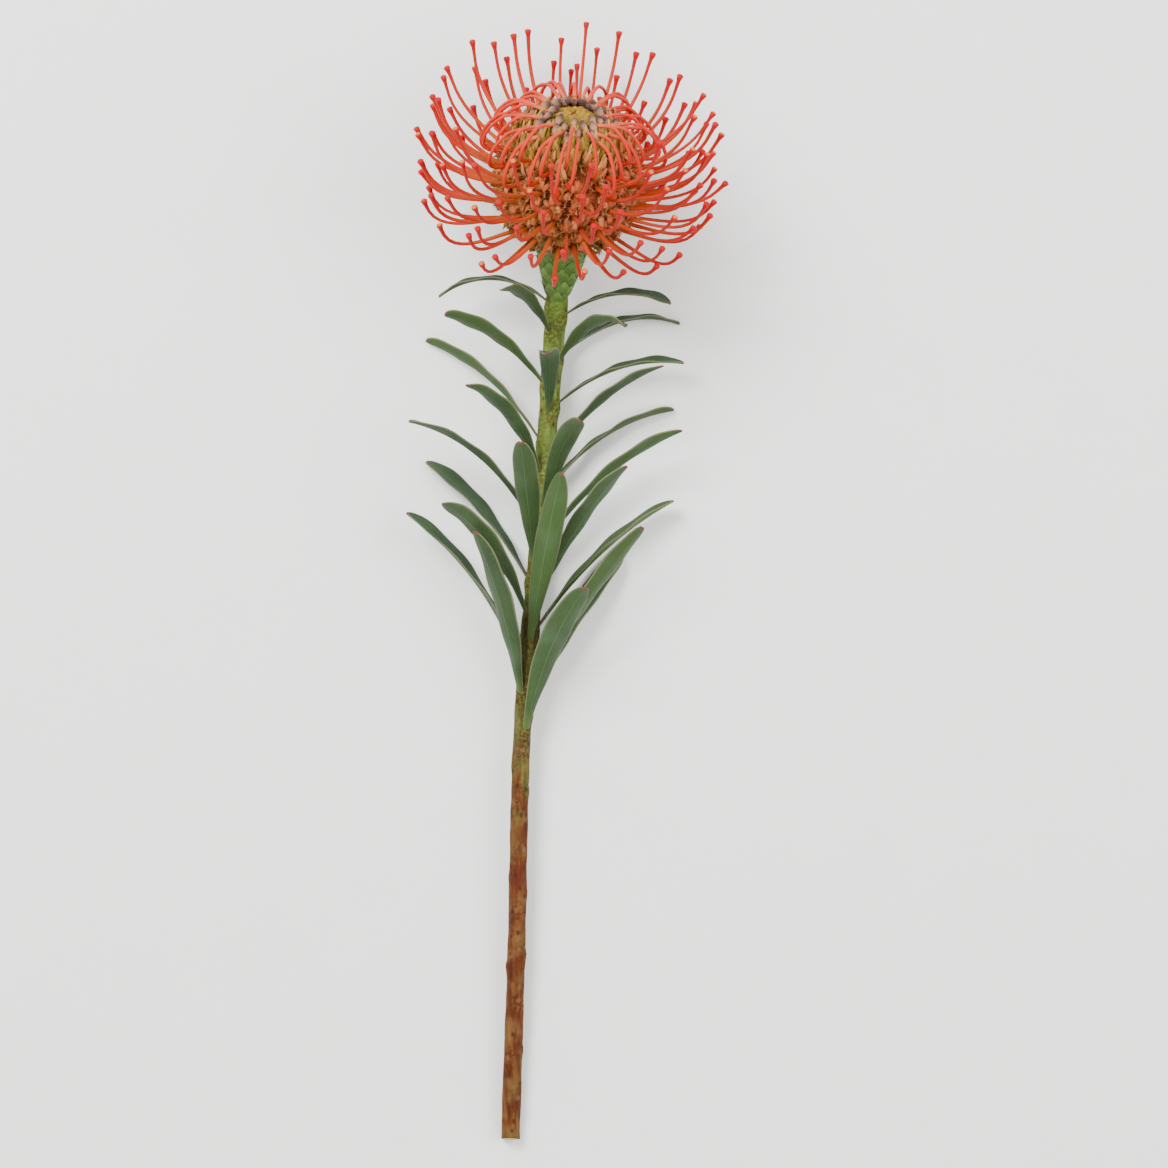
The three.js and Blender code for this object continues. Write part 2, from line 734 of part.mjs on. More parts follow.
const stemTop = STEM_LENGTH - NECK_LENGTH - GAP;
const stem = stemSolid(0, stemTop);
const stemGrown = stemSolid(GAP, STEM_LENGTH - NECK_LENGTH);
const bracts = bractsSolid(0);
const bractsGrown = bractsSolid(GAP);
const closed = closedFlorets(0);
const open = join([domeSolid(), ...openOnes.map(openFloret), ...bowedOnes.map(bowedStyle)]);

const pincushion = new THREE.Group();
pincushion.name = "pincushion_stem";
pincushion.add(named("stem", stem, stemPaint));
pincushion.add(named("bracts", trimmed(bracts.subtract(stemGrown), TRIM), bractPaint));
pincushion.add(
  named("open_florets", trimmed(open.subtract(bractsGrown).subtract(closedFlorets(GAP)), TRIM), openPaint),
);
pincushion.add(named("closed_florets", trimmed(closed, TRIM), closedPaint));
for (let k = 0; k < LEAF_COUNT; k += 1) {
  const name = `leaf_${String(k + 1).padStart(2, "0")}`;
  const leaf = leafSolid(k).subtract(stemGrown).subtract(bractsGrown);
  pincushion.add(named(name, trimmed(leaf, TRIM), leafPaint));
}

export default pincushion;
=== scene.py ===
# %% [markdown]
# # A cut pincushion flower, lying on its back
# The flower is one stem with a scaly neck, a round head of florets and strap-shaped leaves. Its plain solids
# are loaded first, as a fixed frame. Each solid could be painted as it is, or modelled again more finely. It is
# modelled again here, because a flower is mostly fine parts: long thin styles, rolled petals, hairs and veins.

# %% Load the solids
import math

import bmesh
import bpy
import numpy as np
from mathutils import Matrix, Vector


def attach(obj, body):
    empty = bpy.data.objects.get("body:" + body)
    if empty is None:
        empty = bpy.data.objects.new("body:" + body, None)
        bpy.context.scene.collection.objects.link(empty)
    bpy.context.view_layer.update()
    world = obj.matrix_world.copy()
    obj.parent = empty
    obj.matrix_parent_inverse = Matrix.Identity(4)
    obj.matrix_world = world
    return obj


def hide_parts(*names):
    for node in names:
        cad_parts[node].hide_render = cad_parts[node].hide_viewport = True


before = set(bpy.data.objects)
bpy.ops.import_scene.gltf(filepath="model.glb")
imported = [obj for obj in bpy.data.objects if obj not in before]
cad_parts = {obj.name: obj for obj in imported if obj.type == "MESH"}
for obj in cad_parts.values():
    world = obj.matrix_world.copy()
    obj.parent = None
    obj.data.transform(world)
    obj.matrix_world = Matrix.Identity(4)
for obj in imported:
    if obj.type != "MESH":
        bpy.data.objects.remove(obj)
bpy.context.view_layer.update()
MM = 0.001

# %% [markdown]
# ## Growth that varies, and is the same each time
# No two styles or leaves are alike. A random generator would do it, but then each piece depends on all the
# draws before it. Here a draw depends only on the number of the item and on what the draw is for, so one kind
# of piece can be changed and the others stay as they are.

# %% Draws and blends
def vary(n, k):
    """A fixed draw from 0 to 1 for item n, one for each purpose k."""
    s = math.sin(n * 12.9898 + k * 78.233) * 43758.5453
    return s - math.floor(s)


def swing(n, k):
    return 2 * vary(n, k) - 1


def lerp(a, b, q):
    return a + (b - a) * q


def smoothstep(x, low, high):
    q = np.clip((x - low) / (high - low), 0.0, 1.0)
    return q * q * (3 - 2 * q)


def through(values, q):
    """Value at share q between a first, a middle and a last one."""
    return lerp(values[0], values[1], 2 * q) if q < 0.5 else lerp(values[1], values[2], 2 * q - 1)


def unit(v):
    return v / np.linalg.norm(v, axis=-1, keepdims=True)


def rest(z, floor, softness):
    """The larger of z and floor, with a rounded corner."""
    return floor + softness * np.log1p(np.exp((z - floor) / softness))


print("three draws for item 7:", [round(vary(7, k), 3) for k in range(3)])

# %% [markdown]
# ## The line of the stem
# A cut stem is nearly straight, kinks a little at each leaf and bends up under its heavy head. It could be
# drawn as a curve by hand. It is walked in steps of 1 mm instead, from its pitch and its yaw at each distance,
# because leaves and florets then find their place by that distance. All lengths here are in millimetres.

# %% Stem line
STEM_LENGTH = 412
CUT_END = (-25.5, -252.3, 4.0)
PITCH_AT_CUT = 3.6
PITCH_AT_NECK = -1.0
PITCH_OF_HEAD = 34
NECK_BEND = (346, 400)
YAWS = (1.2, 5.0)
YAW_SWAY = 1.0
YAW_SWAY_LENGTH = 190
NODE_ZIGZAG = 1.6
LEAF_COUNT = 26
FIRST_LEAF_AT = 178
LAST_LEAF_AT = 379
LEAF_PITCH = (LAST_LEAF_AT - FIRST_LEAF_AT) / (LEAF_COUNT - 1)
UP = np.array((0.0, 0.0, 1.0))


def direction_at(s):
    along = lerp(PITCH_AT_CUT, PITCH_AT_NECK, min(s / NECK_BEND[0], 1))
    pitch = math.radians(lerp(along, PITCH_OF_HEAD, smoothstep(s, *NECK_BEND)))
    lean = lerp(*YAWS, smoothstep(s, 60, 300))
    sway = YAW_SWAY * math.sin(math.tau * s / YAW_SWAY_LENGTH)
    zigzag = NODE_ZIGZAG * math.sin(math.tau * s / (2.4 * LEAF_PITCH))
    leafy = smoothstep(s, FIRST_LEAF_AT - 40, FIRST_LEAF_AT) * (1 - smoothstep(s, *NECK_BEND))
    yaw = math.radians(lean + sway + zigzag * leafy)
    return np.array((math.sin(yaw) * math.cos(pitch), math.cos(yaw) * math.cos(pitch), math.sin(pitch)))


steps_of_line = [direction_at(s + 0.5) for s in range(STEM_LENGTH)]
stem_line = np.cumsum([np.array(CUT_END), *steps_of_line], axis=0)


def stem_at(s):
    """Point on the stem's line, with its direction and the directions up and right of it."""
    i = min(int(s), STEM_LENGTH - 1)
    point = lerp(stem_line[i], stem_line[i + 1], s - i)
    along = direction_at(s)
    right = unit(np.cross(along, UP))
    return point, along, unit(np.cross(right, along)), right


print("the stem's line ends at", stem_line[-1].round(1))

# %% [markdown]
# ## Forms that are bent along a path
# Styles, sheaths and the bark are round tubes. Leaves, scales and rolled petals are ribbons. Each could be a
# curve with a bevel, but then all its cross sections are alike. Here a straight form is made once with
# operators: its rings lie at heights 0, 1, 2 and so on. A copy is then bent by moving ring k to point k of a
# path. A form that is copied hundreds of times has few faces.

# %% Straight forms
def kept(tools, name, axis=2):
    """Ends the modelling of a form and keeps its mesh, its points and the ring that each is in."""
    mesh = bpy.data.meshes.new(name)
    tools.to_mesh(mesh)
    tools.free()
    places = np.array([v.co for v in mesh.vertices])
    return {"mesh": mesh, "places": places, "ring": np.rint(places[:, axis]).astype(int)}


def tube_form(name, rings, sides, insets=()):
    """A tube of radius 1 with a ring at each height, closed at both ends. Insets divide its first end."""
    tube = bmesh.new()
    bmesh.ops.create_circle(tube, segments=sides, radius=1.0)
    rim = tube.edges[:]
    for _ in range(rings - 1):
        grown = bmesh.ops.extrude_edge_only(tube, edges=rim)["geom"]
        rim = [g for g in grown if isinstance(g, bmesh.types.BMEdge)]
        ring = [g for g in grown if isinstance(g, bmesh.types.BMVert)]
        bmesh.ops.translate(tube, verts=ring, vec=(0, 0, 1))
    ends = bmesh.ops.holes_fill(tube, edges=tube.edges[:], sides=sides)["faces"]
    bmesh.ops.recalc_face_normals(tube, faces=tube.faces[:])
    first = [f for f in ends if f.calc_center_median().z < 0.5]
    for thickness in insets:
        bmesh.ops.inset_region(tube, faces=first, thickness=thickness)
    return kept(tube, name)


def ribbon_form(name, across, rings):
    """A flat ribbon from x = -1 to 1, one unit thick, with a row of points at each height."""
    ribbon = bmesh.new()
    bmesh.ops.create_grid(ribbon, x_segments=across, y_segments=rings - 1, size=1.0)
    bmesh.ops.solidify(ribbon, geom=ribbon.faces[:], thickness=1.0)
    bmesh.ops.translate(ribbon, verts=ribbon.verts[:], vec=(0, 1, 0.5))
    bmesh.ops.scale(ribbon, verts=ribbon.verts[:], vec=(1, (rings - 1) / 2, 1))
    bmesh.ops.recalc_face_normals(ribbon, faces=ribbon.faces[:])
    for face in ribbon.faces:
        face.material_index = 0 if face.normal.z > 0.5 else (1 if face.normal.z < -0.5 else 2)
    return kept(ribbon, name, axis=1)


def needle_form(name):
    """A thin three-sided cone from its root at height 0 to its point at height 1."""
    needle = bmesh.new()
    bmesh.ops.create_cone(needle, cap_ends=True, segments=3, radius1=1.0, radius2=0.0, depth=1.0)
    bmesh.ops.translate(needle, verts=needle.verts[:], vec=(0, 0, 0.5))
    return kept(needle, name)


# %% Bending a form
def frames_along(path, side):
    """Direction of a path at each point, with a side direction and one square to both."""
    along = unit(np.gradient(path, axis=0))
    side = np.broadcast_to(side, path.shape)
    across = unit(side - np.sum(side * along, axis=1, keepdims=True) * along)
    return along, across, np.cross(along, across)


def bent_tube(form, path, radii, side, **marks):
    """One copy of a tube along a path, as a dict of its points, their way out and their marks."""
    ring = form["ring"]
    _, across, square = frames_along(path, side)
    out = form["places"][:, :1] * across[ring] + form["places"][:, 1:2] * square[ring]
    places = path[ring] + np.asarray(radii)[ring, None] * out
    places[:, 2] = np.maximum(places[:, 2], 0)
    return {"places": places, "out": out, "along": ring / ring.max(), **marks}


def bent_ribbon(form, path, across, facing, half_widths, thick, lift, **marks):
    """One copy of a ribbon. Its faces look along facing, and lift raises each point that way."""
    ring = form["ring"]
    x, z = form["places"][:, 0], form["places"][:, 2]
    raised = lift + z * thick
    places = path[ring] + (x * half_widths[ring])[:, None] * across[ring] + raised[:, None] * facing[ring]
    places[:, 2] = np.maximum(places[:, 2], 0)
    out = np.sign(z)[:, None] * facing[ring]
    return {"places": places, "out": out, "along": ring / ring.max(), "across": x, **marks}


# %% Gathering copies into a piece
def gathered(name, form, copies):
    """One mesh of many bent copies of a form, with each copy's marks kept at its points."""
    many = bmesh.new()
    for _ in copies:
        many.from_mesh(form["mesh"])
    mesh = bpy.data.meshes.new(name)
    many.to_mesh(mesh)
    many.free()
    places = np.concatenate([copy["places"] for copy in copies]) * MM
    mesh.vertices.foreach_set("co", places.astype(np.float32).ravel())
    count = len(form["places"])
    for mark in sorted(set(copies[0]) - {"places", "out"}):
        values = np.concatenate([np.broadcast_to(copy[mark], count) for copy in copies])
        mesh.attributes.new(mark, "FLOAT", "POINT").data.foreach_set("value", values.astype(np.float32))
    mesh.shade_smooth()
    mesh.update()
    return mesh


def put(name, mesh, finishes, slot, *nodes):
    """Shows a finished mesh as a piece of the flower, in place of the named solids."""
    piece = bpy.data.objects.new(name, mesh)
    bpy.context.scene.collection.objects.link(piece)
    for finish in finishes:
        mesh.materials.append(finish)
    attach(piece, "root")
    if nodes:
        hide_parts(*nodes)
    print(f"{name}: {len(mesh.polygons)} faces")
    return piece


print("forms are bent along paths of points in millimetres")

# %% [markdown]
# ## Finishes
# A finish is a material whose colour, roughness and relief all come from nodes. Building each by hand takes
# many lines, so a small helper adds a node, feeds its inputs and returns its output. Patterns are placed by
# the flower's own coordinates or by the marks that were kept at the points of each piece, such as the share
# of the way along a style.

# %% Finish helper
def screen(red, green, blue):
    """A colour as it looks on a screen, from 0 to 255, as the share of light that a surface gives back."""
    share = [c / 255 / 12.92 if c <= 10 else ((c / 255 + 0.055) / 1.055) ** 2.4 for c in (red, green, blue)]
    return (*share, 1.0)


class Finish:
    """A material under construction. Each call adds a node and returns what it gives out."""

    def __init__(self, name, **sockets):
        self.material = bpy.data.materials.new(name)
        self.material.use_nodes = True
        self.tree = self.material.node_tree
        self.shader = self.tree.nodes["Principled BSDF"]
        for socket, value in sockets.items():
            self.shader.inputs[socket.replace("_", " ")].default_value = value

    def node(self, kind, inputs, **settings):
        made = self.tree.nodes.new("ShaderNode" + kind)
        for setting, value in settings.items():
            setattr(made, setting, value)
        for socket, value in inputs.items():
            self.feed(made.inputs[socket], value)
        return made

    def feed(self, socket, value):
        if isinstance(value, bpy.types.NodeSocket):
            self.tree.links.new(value, socket)
        else:
            socket.default_value = value

    def mark(self, name):
        return self.node("Attribute", {}, attribute_name=name).outputs["Fac"]

    def place(self, scale=(1, 1, 1)):
        where = self.node("TexCoord", {}).outputs["Object"]
        return self.node("Mapping", {"Vector": where, "Scale": scale}).outputs["Vector"]

    def noise(self, size, detail=3.0, scale=(1, 1, 1)):
        """Cloudy values whose patches are about size millimetres across."""
        inputs = {"Vector": self.place(scale), "Scale": 1 / (size * MM), "Detail": detail}
        return self.node("TexNoise", inputs).outputs["Fac"]

    def spots(self, size, scale=(1, 1, 1)):
        """Distance from the nearest of many scattered points, about size millimetres apart."""
        inputs = {"Vector": self.place(scale), "Scale": 1 / (size * MM)}
        return self.node("TexVoronoi", inputs).outputs["Distance"]

    def ramp(self, value, *stops):
        made = self.node("ValToRGB", {"Fac": value})
        elements = made.color_ramp.elements
        while len(elements) < len(stops):
            elements.new(0.5)
        for element, (position, colour) in zip(elements, stops):
            element.position = position
            element.color = colour
        return made.outputs["Color"]

    def between(self, value, low, high):
        """0 below low, 1 above high and a smooth step between them."""
        inputs = {"Value": value, "From Min": low, "From Max": high}
        return self.node("MapRange", inputs, interpolation_type="SMOOTHSTEP").outputs["Result"]

    def mix(self, share, first, second, blend="MIX"):
        made = self.node("Mix", {}, data_type="RGBA", blend_type=blend)
        for socket, value in zip((0, 6, 7), (share, first, second)):
            self.feed(made.inputs[socket], value)
        return made.outputs[2]

    def maths(self, operation, first, second=0.0, third=0.0):
        made = self.node("Math", {0: first, 1: second, 2: third}, operation=operation)
        return made.outputs[0]

    def relief(self, height, depth):
        """Relief of the given depth in millimetres."""
        bump = self.node("Bump", {"Height": height, "Distance": depth * MM})
        self.feed(self.shader.inputs["Normal"], bump.outputs["Normal"])

    def done(self, colour, roughness=None):
        self.feed(self.shader.inputs["Base Color"], colour)
        if roughness is not None:
            self.feed(self.shader.inputs["Roughness"], roughness)
        return self.material


print("finishes are made of nodes, with no pictures")

# %% [markdown]
# ## The bark
# The stem is woody: brown with pale pores low down, where it is older, and yellow-green with brown flecks
# near the head. The lowest leaves were stripped off and left scars. It could be a plain tube with painted
# marks, but scars and the swellings under the leaves change its outline, so they are moved into the mesh.

# %% Leaf places and scars
LEAF_TURN = 137.5
LEAF_TURN_START = 40
LEAF_SPLAY = 0.66
LEAF_RISE = (26, 34, 48)
STEM_RADIUS = 4.0
NECK_LENGTH = 27
GAP = 0.35
SCAR_COUNT = 19


def stem_radius(s):
    return STEM_RADIUS + 0.25 * (1 - smoothstep(s, 0, 120)) + 0.9 * smoothstep(s, 280, 385)


def leaf_at(k):
    """Where leaf k starts on the stem's line, its turn from straight up and its rise off the stem."""
    q = k / (LEAF_COUNT - 1)
    s = lerp(FIRST_LEAF_AT, LAST_LEAF_AT, q) + 1.6 * swing(k, 1)
    whole = LEAF_TURN_START + LEAF_TURN * k + 9 * swing(k, 2)
    turn = math.radians(LEAF_SPLAY * ((whole + 180) % 360 - 180))
    return s, turn, math.radians(through(LEAF_RISE, q) + 5 * swing(k, 5))


def foot_at(k):
    """Where leaf k comes out of the bark."""
    s, turn, rise = leaf_at(k)
    return s + stem_radius(s) / math.tan(rise), turn


def scar_at(k):
    s = FIRST_LEAF_AT - k * (LEAF_PITCH + 0.9) + 2.5 * swing(k, 31)
    return s, math.radians(-LEAF_TURN * k + 14 * swing(k, 32))


def patches(s, angle, places, shift, length, spread):
    """1 on each of some places on the stem, falling to 0 round them."""
    total = 0.0
    for at, turn in places:
        around = np.arctan2(np.sin(angle - turn), np.cos(angle - turn))
        total = total + np.exp(-(((s - at - shift) / length) ** 2) - (around / spread) ** 2)
    return total


feet = [foot_at(k) for k in range(LEAF_COUNT)]
scars = [scar_at(k) for k in range(SCAR_COUNT)]
print("leaves from", round(feet[0][0]), "to", round(feet[-1][0]), "mm up the stem; scars:", len(scars))

# %% Bark
BARK_SIDES = 28
BARK_STEP = 1.6
CUT_SLANT = 14
BARK_IN_NECK = 2.4
stem_top = STEM_LENGTH - NECK_LENGTH - GAP
bark_top = stem_top + BARK_IN_NECK
bark_form = tube_form("bark_form", round(bark_top / BARK_STEP) + 1, BARK_SIDES, insets=(0.12, 0.5))


def bark_copy(form):
    ring = form["ring"]
    distances = np.linspace(0, bark_top, ring.max() + 1)
    s = distances[ring]
    x, y = form["places"][:, 0], form["places"][:, 1]
    angle = np.arctan2(y, x)
    cushions = patches(s, angle, feet, -3.0, 3.6, 0.62)
    swell = 0.8 * cushions + 0.6 * patches(s, angle, scars, -2.2, 3.2, 0.6)
    scar = patches(s, angle, scars, 0.3, 1.3, 0.4)
    # Where shade is painted: the crease just above each leaf's foot, under the blade
    axil = patches(s, angle, feet, 1.6, 1.0, 0.5)
    scurf = patches(s, angle, feet, -1.0, 6.5, 1.2) + patches(s, angle, scars, -0.5, 4.5, 1.3)
    ribs = 0.09 * np.sin(5 * angle + 0.02 * s) + 0.06 * np.sin(9 * angle - 0.05 * s + 1)
    wobble = 0.1 * np.sin(0.21 * s + 2 * angle) + 0.06 * np.sin(0.53 * s - 3 * angle)
    radius = stem_radius(s) + swell - 0.3 * scar + ribs + wobble - 1.2 * smoothstep(s, stem_top - 1, bark_top)
    line = [stem_at(distance) for distance in distances]
    point, along, up, right = (np.array(part)[ring] for part in zip(*line))
    out = x[:, None] * up + y[:, None] * right
    slant = np.where(ring == 0, math.tan(math.radians(CUT_SLANT)), 0.0)
    places = point + radius[:, None] * out + (slant * radius * x)[:, None] * along
    places[:, 2] = np.maximum(places[:, 2], 0)
    inner = np.where(ring == 0, np.hypot(x, y), 1.0)
    # turn is 1 on the top of the stem and falls round its sides; the finish paints shade by it
    return {"places": places, "out": out, "along": s / STEM_LENGTH, "scar": scar, "axil": axil,
            "scurf": np.clip(scurf, 0, 1), "turn": np.cos(angle - 0.5), "inner": inner}


bark_mesh = gathered("stem_bark", bark_form, [bark_copy(bark_form)])

# %% Bark finish
def bark_finish():
    bark = Finish("bark", Specular_IOR_Level=0.12)
    along = bark.mark("along")
    streaks = bark.noise(2.0, 5, scale=(1, 0.14, 1))
    blotches = bark.noise(6, 4, scale=(1, 0.5, 1))
    old = bark.ramp(streaks, (0.3, screen(56, 24, 8)), (0.5, screen(84, 43, 15)), (0.72, screen(111, 75, 36)))
    middle = bark.ramp(streaks, (0.3, screen(60, 50, 26)), (0.5, screen(80, 82, 36)), (0.72, screen(106, 112, 54)))
    young = bark.ramp(streaks, (0.3, screen(78, 94, 40)), (0.52, screen(98, 118, 50)), (0.75, screen(122, 146, 64)))
    zones = bark.noise(11, 2, scale=(1, 0.7, 1))
    old = bark.mix(bark.maths("MULTIPLY", bark.between(zones, 0.5, 0.7), 0.6), old, screen(82, 28, 13))
    old = bark.mix(bark.maths("MULTIPLY", bark.between(zones, 0.48, 0.32), 0.5), old, screen(98, 78, 40))
    height = bark.maths("MULTIPLY_ADD", blotches, 0.3, bark.maths("SUBTRACT", along, 0.15))
    colour = bark.mix(bark.between(height, 0.36, 0.44), old, middle)
    colour = bark.mix(bark.between(height, 0.52, 0.7), colour, young)
    top = bark.between(bark.maths("MULTIPLY_ADD", streaks, 0.05, along), 0.905, 0.965)
    colour = bark.mix(bark.maths("MULTIPLY", top, 0.75), colour, screen(92, 122, 44))
    # Painted shade: tan-brown blotches only on the sides of the stem turned away from its top
    shaded = bark.between(bark.mark("turn"), 0.3, -0.8)
    tan = bark.maths("MULTIPLY", shaded, bark.between(blotches, 0.28, 0.7))
    colour = bark.mix(bark.maths("MULTIPLY", tan, 0.5), colour, screen(110, 80, 40))
    crust = bark.maths("MULTIPLY", bark.mark("scurf"), bark.between(bark.noise(1.5, 4), 0.42, 0.6))
    rust = bark.mix(bark.between(along, 0.42, 0.6), screen(72, 18, 9), screen(84, 58, 26))
    colour = bark.mix(bark.maths("MULTIPLY", crust, 0.8), colour, rust)
    worn = bark.between(bark.noise(6, 3, scale=(1, 0.7, 1)), 0.48, 0.7)
    worn = bark.maths("MULTIPLY", worn, bark.between(height, 0.5, 0.36))
    colour = bark.mix(bark.maths("MULTIPLY", worn, 0.45), colour, screen(120, 90, 52))
    pores = bark.between(bark.spots(4.6, scale=(1, 0.75, 1)), 0.26, 0.12)
    pores = bark.maths("MULTIPLY", pores, bark.between(bark.noise(9, 2), 0.4, 0.52))
    colour = bark.mix(bark.maths("MULTIPLY", pores, 0.75), colour, screen(54, 24, 8))
    scar = bark.maths("MULTIPLY", bark.between(bark.mark("scar"), 0.35, 0.7), bark.between(streaks, 0.2, 0.6))
    colour = bark.mix(bark.maths("MULTIPLY", scar, 0.6), colour, screen(116, 90, 54))
    # Painted shade: the bark is darkened in the crease just above each leaf's foot
    axil = bark.maths("MULTIPLY", bark.between(bark.mark("axil"), 0.4, 0.9), 0.5)
    colour = bark.mix(axil, colour, screen(58, 36, 18))
    inner = bark.mark("inner")
    wood = bark.ramp(inner, (0.2, screen(150, 138, 88)), (0.42, screen(202, 204, 130)),
                     (0.86, screen(138, 152, 70)), (0.96, screen(66, 48, 32)))
    colour = bark.mix(bark.between(inner, 0.995, 0.98), colour, wood)
    grain = bark.maths("MULTIPLY_ADD", pores, -0.5, bark.noise(0.8, 4, scale=(1, 0.18, 1)))
    bark.relief(bark.maths("ADD", grain, crust), 0.35)
    return bark.done(colour, bark.between(streaks, -0.9, 1.3))


put("stem_bark", bark_mesh, [bark_finish()], "stem", "stem")

# %% [markdown]
# ## The leaves
# Each leaf is a leathery strap with a narrow foot, a blunt tip with a red callus, raised edges and a grey
# bloom of short down. It could be a flat outline that is extruded, but a leaf folds, arches and twists over
# its whole length. So a ribbon is bent along the leaf's middle line, and its rows take the leaf's width there.

# %% Leaf shapes
LEAF_LENGTHS = (86, 77, 58)
LEAF_HALF_WIDTHS = (6.6, 5.4, 4.0)
LEAF_ARCH = (14, 40, 66)
LEAF_THICK = 0.9
LEAF_EDGE_THICK = 0.5
LEAF_FOLD = 0.16
LEAF_CLEAR = 0.8
LEAF_ROOT = 0.7
WIDEST_AT = 0.62
leaf_form = ribbon_form("leaf_form", 8, 44)


def leaf_outline(q):
    """Half-width at share q of the length: a narrow foot, widest past the middle, a round tip."""
    foot = 0.24
    lower = foot + (1 - foot) * np.sin(math.pi / 2 * np.clip(q / WIDEST_AT, 0, 1)) ** 1.35
    upper = np.sqrt(np.clip(1 - np.maximum(0, (q - WIDEST_AT) / (1.004 - WIDEST_AT)) ** 2.5, 0, 1))
    return np.where(q < WIDEST_AT, lower, upper)


def leaf_copy(k):
    s, turn, rise = leaf_at(k)
    q = k / (LEAF_COUNT - 1)
    length = through(LEAF_LENGTHS, q) * (1 + 0.09 * swing(k, 3))
    half = through(LEAF_HALF_WIDTHS, q) * (1 + 0.1 * swing(k, 4))
    arch = math.radians(through(LEAF_ARCH, q) + 20 * swing(k, 63))
    point, along, up, right = stem_at(s)
    out = math.cos(turn) * up + math.sin(turn) * right
    side = unit(np.cross(out, along))
    sunk = stem_radius(s) / math.sin(rise)
    rows = leaf_form["ring"].max() + 1
    walked = sunk * LEAF_ROOT + np.linspace(0, 1, rows) ** 0.94 * (length + sunk * (1 - LEAF_ROOT))
    share = np.maximum(0, (walked - sunk) / length)[:, None]
    climb = rise + arch * share ** 1.2
    lean = math.radians(11 * swing(k, 7)) * share
    toward = unit(np.cos(climb) * along + np.sin(climb) * out + np.sin(lean) * side)
    twist = math.radians(34 * swing(k, 8)) * share
    level = np.sum(toward * side, axis=1, keepdims=True) * toward
    width = np.cos(twist) * side + np.sin(twist) * np.cross(toward, side) + (1 - np.cos(twist)) * level
    facing = unit(np.cross(width, toward))
    path = point + walked[0] * toward[0] + np.cumsum(toward * np.diff(walked, prepend=walked[0])[:, None], axis=0)
    widths = half * leaf_outline(share[:, 0])
    low = widths * np.abs(width[:, 2]) + LEAF_THICK * np.abs(facing[:, 2]) + LEAF_CLEAR
    path[:, 2] = rest(path[:, 2], low, 1.5)
    ring, x = leaf_form["ring"], leaf_form["places"][:, 0]
    ripple = 0.35 * np.sin(0.5 * ring + 6 * vary(k, 9) + np.sign(x)) * x**2 * np.clip(share[ring, 0] * 4, 0, 1)
    lift = 2 * LEAF_FOLD * widths[ring] * np.abs(x) ** 1.5 + ripple
    thick = lerp(LEAF_THICK, LEAF_EDGE_THICK, np.abs(x) ** 2)
    return bent_ribbon(leaf_form, path, width, facing, widths, thick, lift, draw=vary(k, 33))


print("leaf 1 is", round(through(LEAF_LENGTHS, 0) * (1 + 0.09 * swing(0, 3))), "mm long")

# %% Leaf finish
def leaf_finish(name, fresh, dark, bloom):
    leaf = Finish(name, Specular_IOR_Level=0.4, Sheen_Weight=bloom, Sheen_Roughness=0.5)
    leaf.shader.inputs["Sheen Tint"].default_value = screen(150, 186, 160)
    along, across = leaf.mark("along"), leaf.maths("ABSOLUTE", leaf.mark("across"))
    clouds = leaf.noise(14, 4)
    share = leaf.maths("MULTIPLY_ADD", leaf.mark("draw"), 0.65, leaf.maths("MULTIPLY", clouds, 0.6))
    colour = leaf.mix(leaf.between(share, 0.2, 1.0), dark, fresh)
    olive = leaf.between(leaf.maths("SINE", leaf.maths("MULTIPLY", leaf.mark("draw"), 40)), 0.0, 0.9)
    colour = leaf.mix(leaf.maths("MULTIPLY", olive, 0.42), colour, screen(60, 82, 20))
    mottle = leaf.noise(0.9, 4)
    speckle = leaf.maths("MULTIPLY", leaf.between(mottle, 0.45, 0.7), 0.3)
    colour = leaf.mix(speckle, colour, screen(64, 94, 46))
    long_veins = leaf.between(leaf.maths("SINE", leaf.maths("MULTIPLY", across, 38)), 0.4, 1.0)
    slant = leaf.maths("MULTIPLY_ADD", along, 110, leaf.maths("MULTIPLY", across, -26))
    side_veins = leaf.between(leaf.maths("SINE", slant), 0.92, 1.0)
    veins = leaf.maths("MAXIMUM", leaf.maths("MULTIPLY", side_veins, 0.5), long_veins)
    rib = leaf.between(across, 0.09, 0.03)
    vein = leaf.maths("MAXIMUM", rib, leaf.maths("MULTIPLY", veins, 0.45))
    colour = leaf.mix(leaf.maths("MULTIPLY", vein, 0.45), colour, screen(78, 108, 50))
    hazy = leaf.maths("MULTIPLY", leaf.between(leaf.noise(20, 3), 0.48, 0.72), 0.35)
    colour = leaf.mix(hazy, colour, screen(72, 94, 66))
    colour = leaf.mix(leaf.between(along, 0.16, 0.0), colour, screen(78, 98, 34))
    colour = leaf.mix(leaf.maths("MULTIPLY", leaf.between(along, 0.045, 0.01), 0.6), colour, screen(88, 66, 34))
    rim = leaf.between(leaf.maths("MULTIPLY_ADD", clouds, 0.04, across), 0.93, 0.99)
    colour = leaf.mix(leaf.maths("MULTIPLY", rim, 0.7), colour, screen(106, 106, 72))
    worn = leaf.maths("MULTIPLY", leaf.between(leaf.spots(13), 0.12, 0.05), leaf.between(clouds, 0.5, 0.6))
    colour = leaf.mix(leaf.maths("MULTIPLY", worn, 0.6), colour, screen(60, 44, 26))
    callus = leaf.between(leaf.maths("MULTIPLY_ADD", clouds, 0.014, along), 0.988, 1.0)
    colour = leaf.mix(leaf.maths("MULTIPLY", callus, 0.8), colour, screen(108, 50, 32))
    leaf.relief(leaf.maths("MULTIPLY_ADD", vein, -0.7, leaf.maths("MULTIPLY", mottle, 0.5)), 0.25)
    return leaf.done(colour, leaf.between(mottle, -1.2, 1.6))


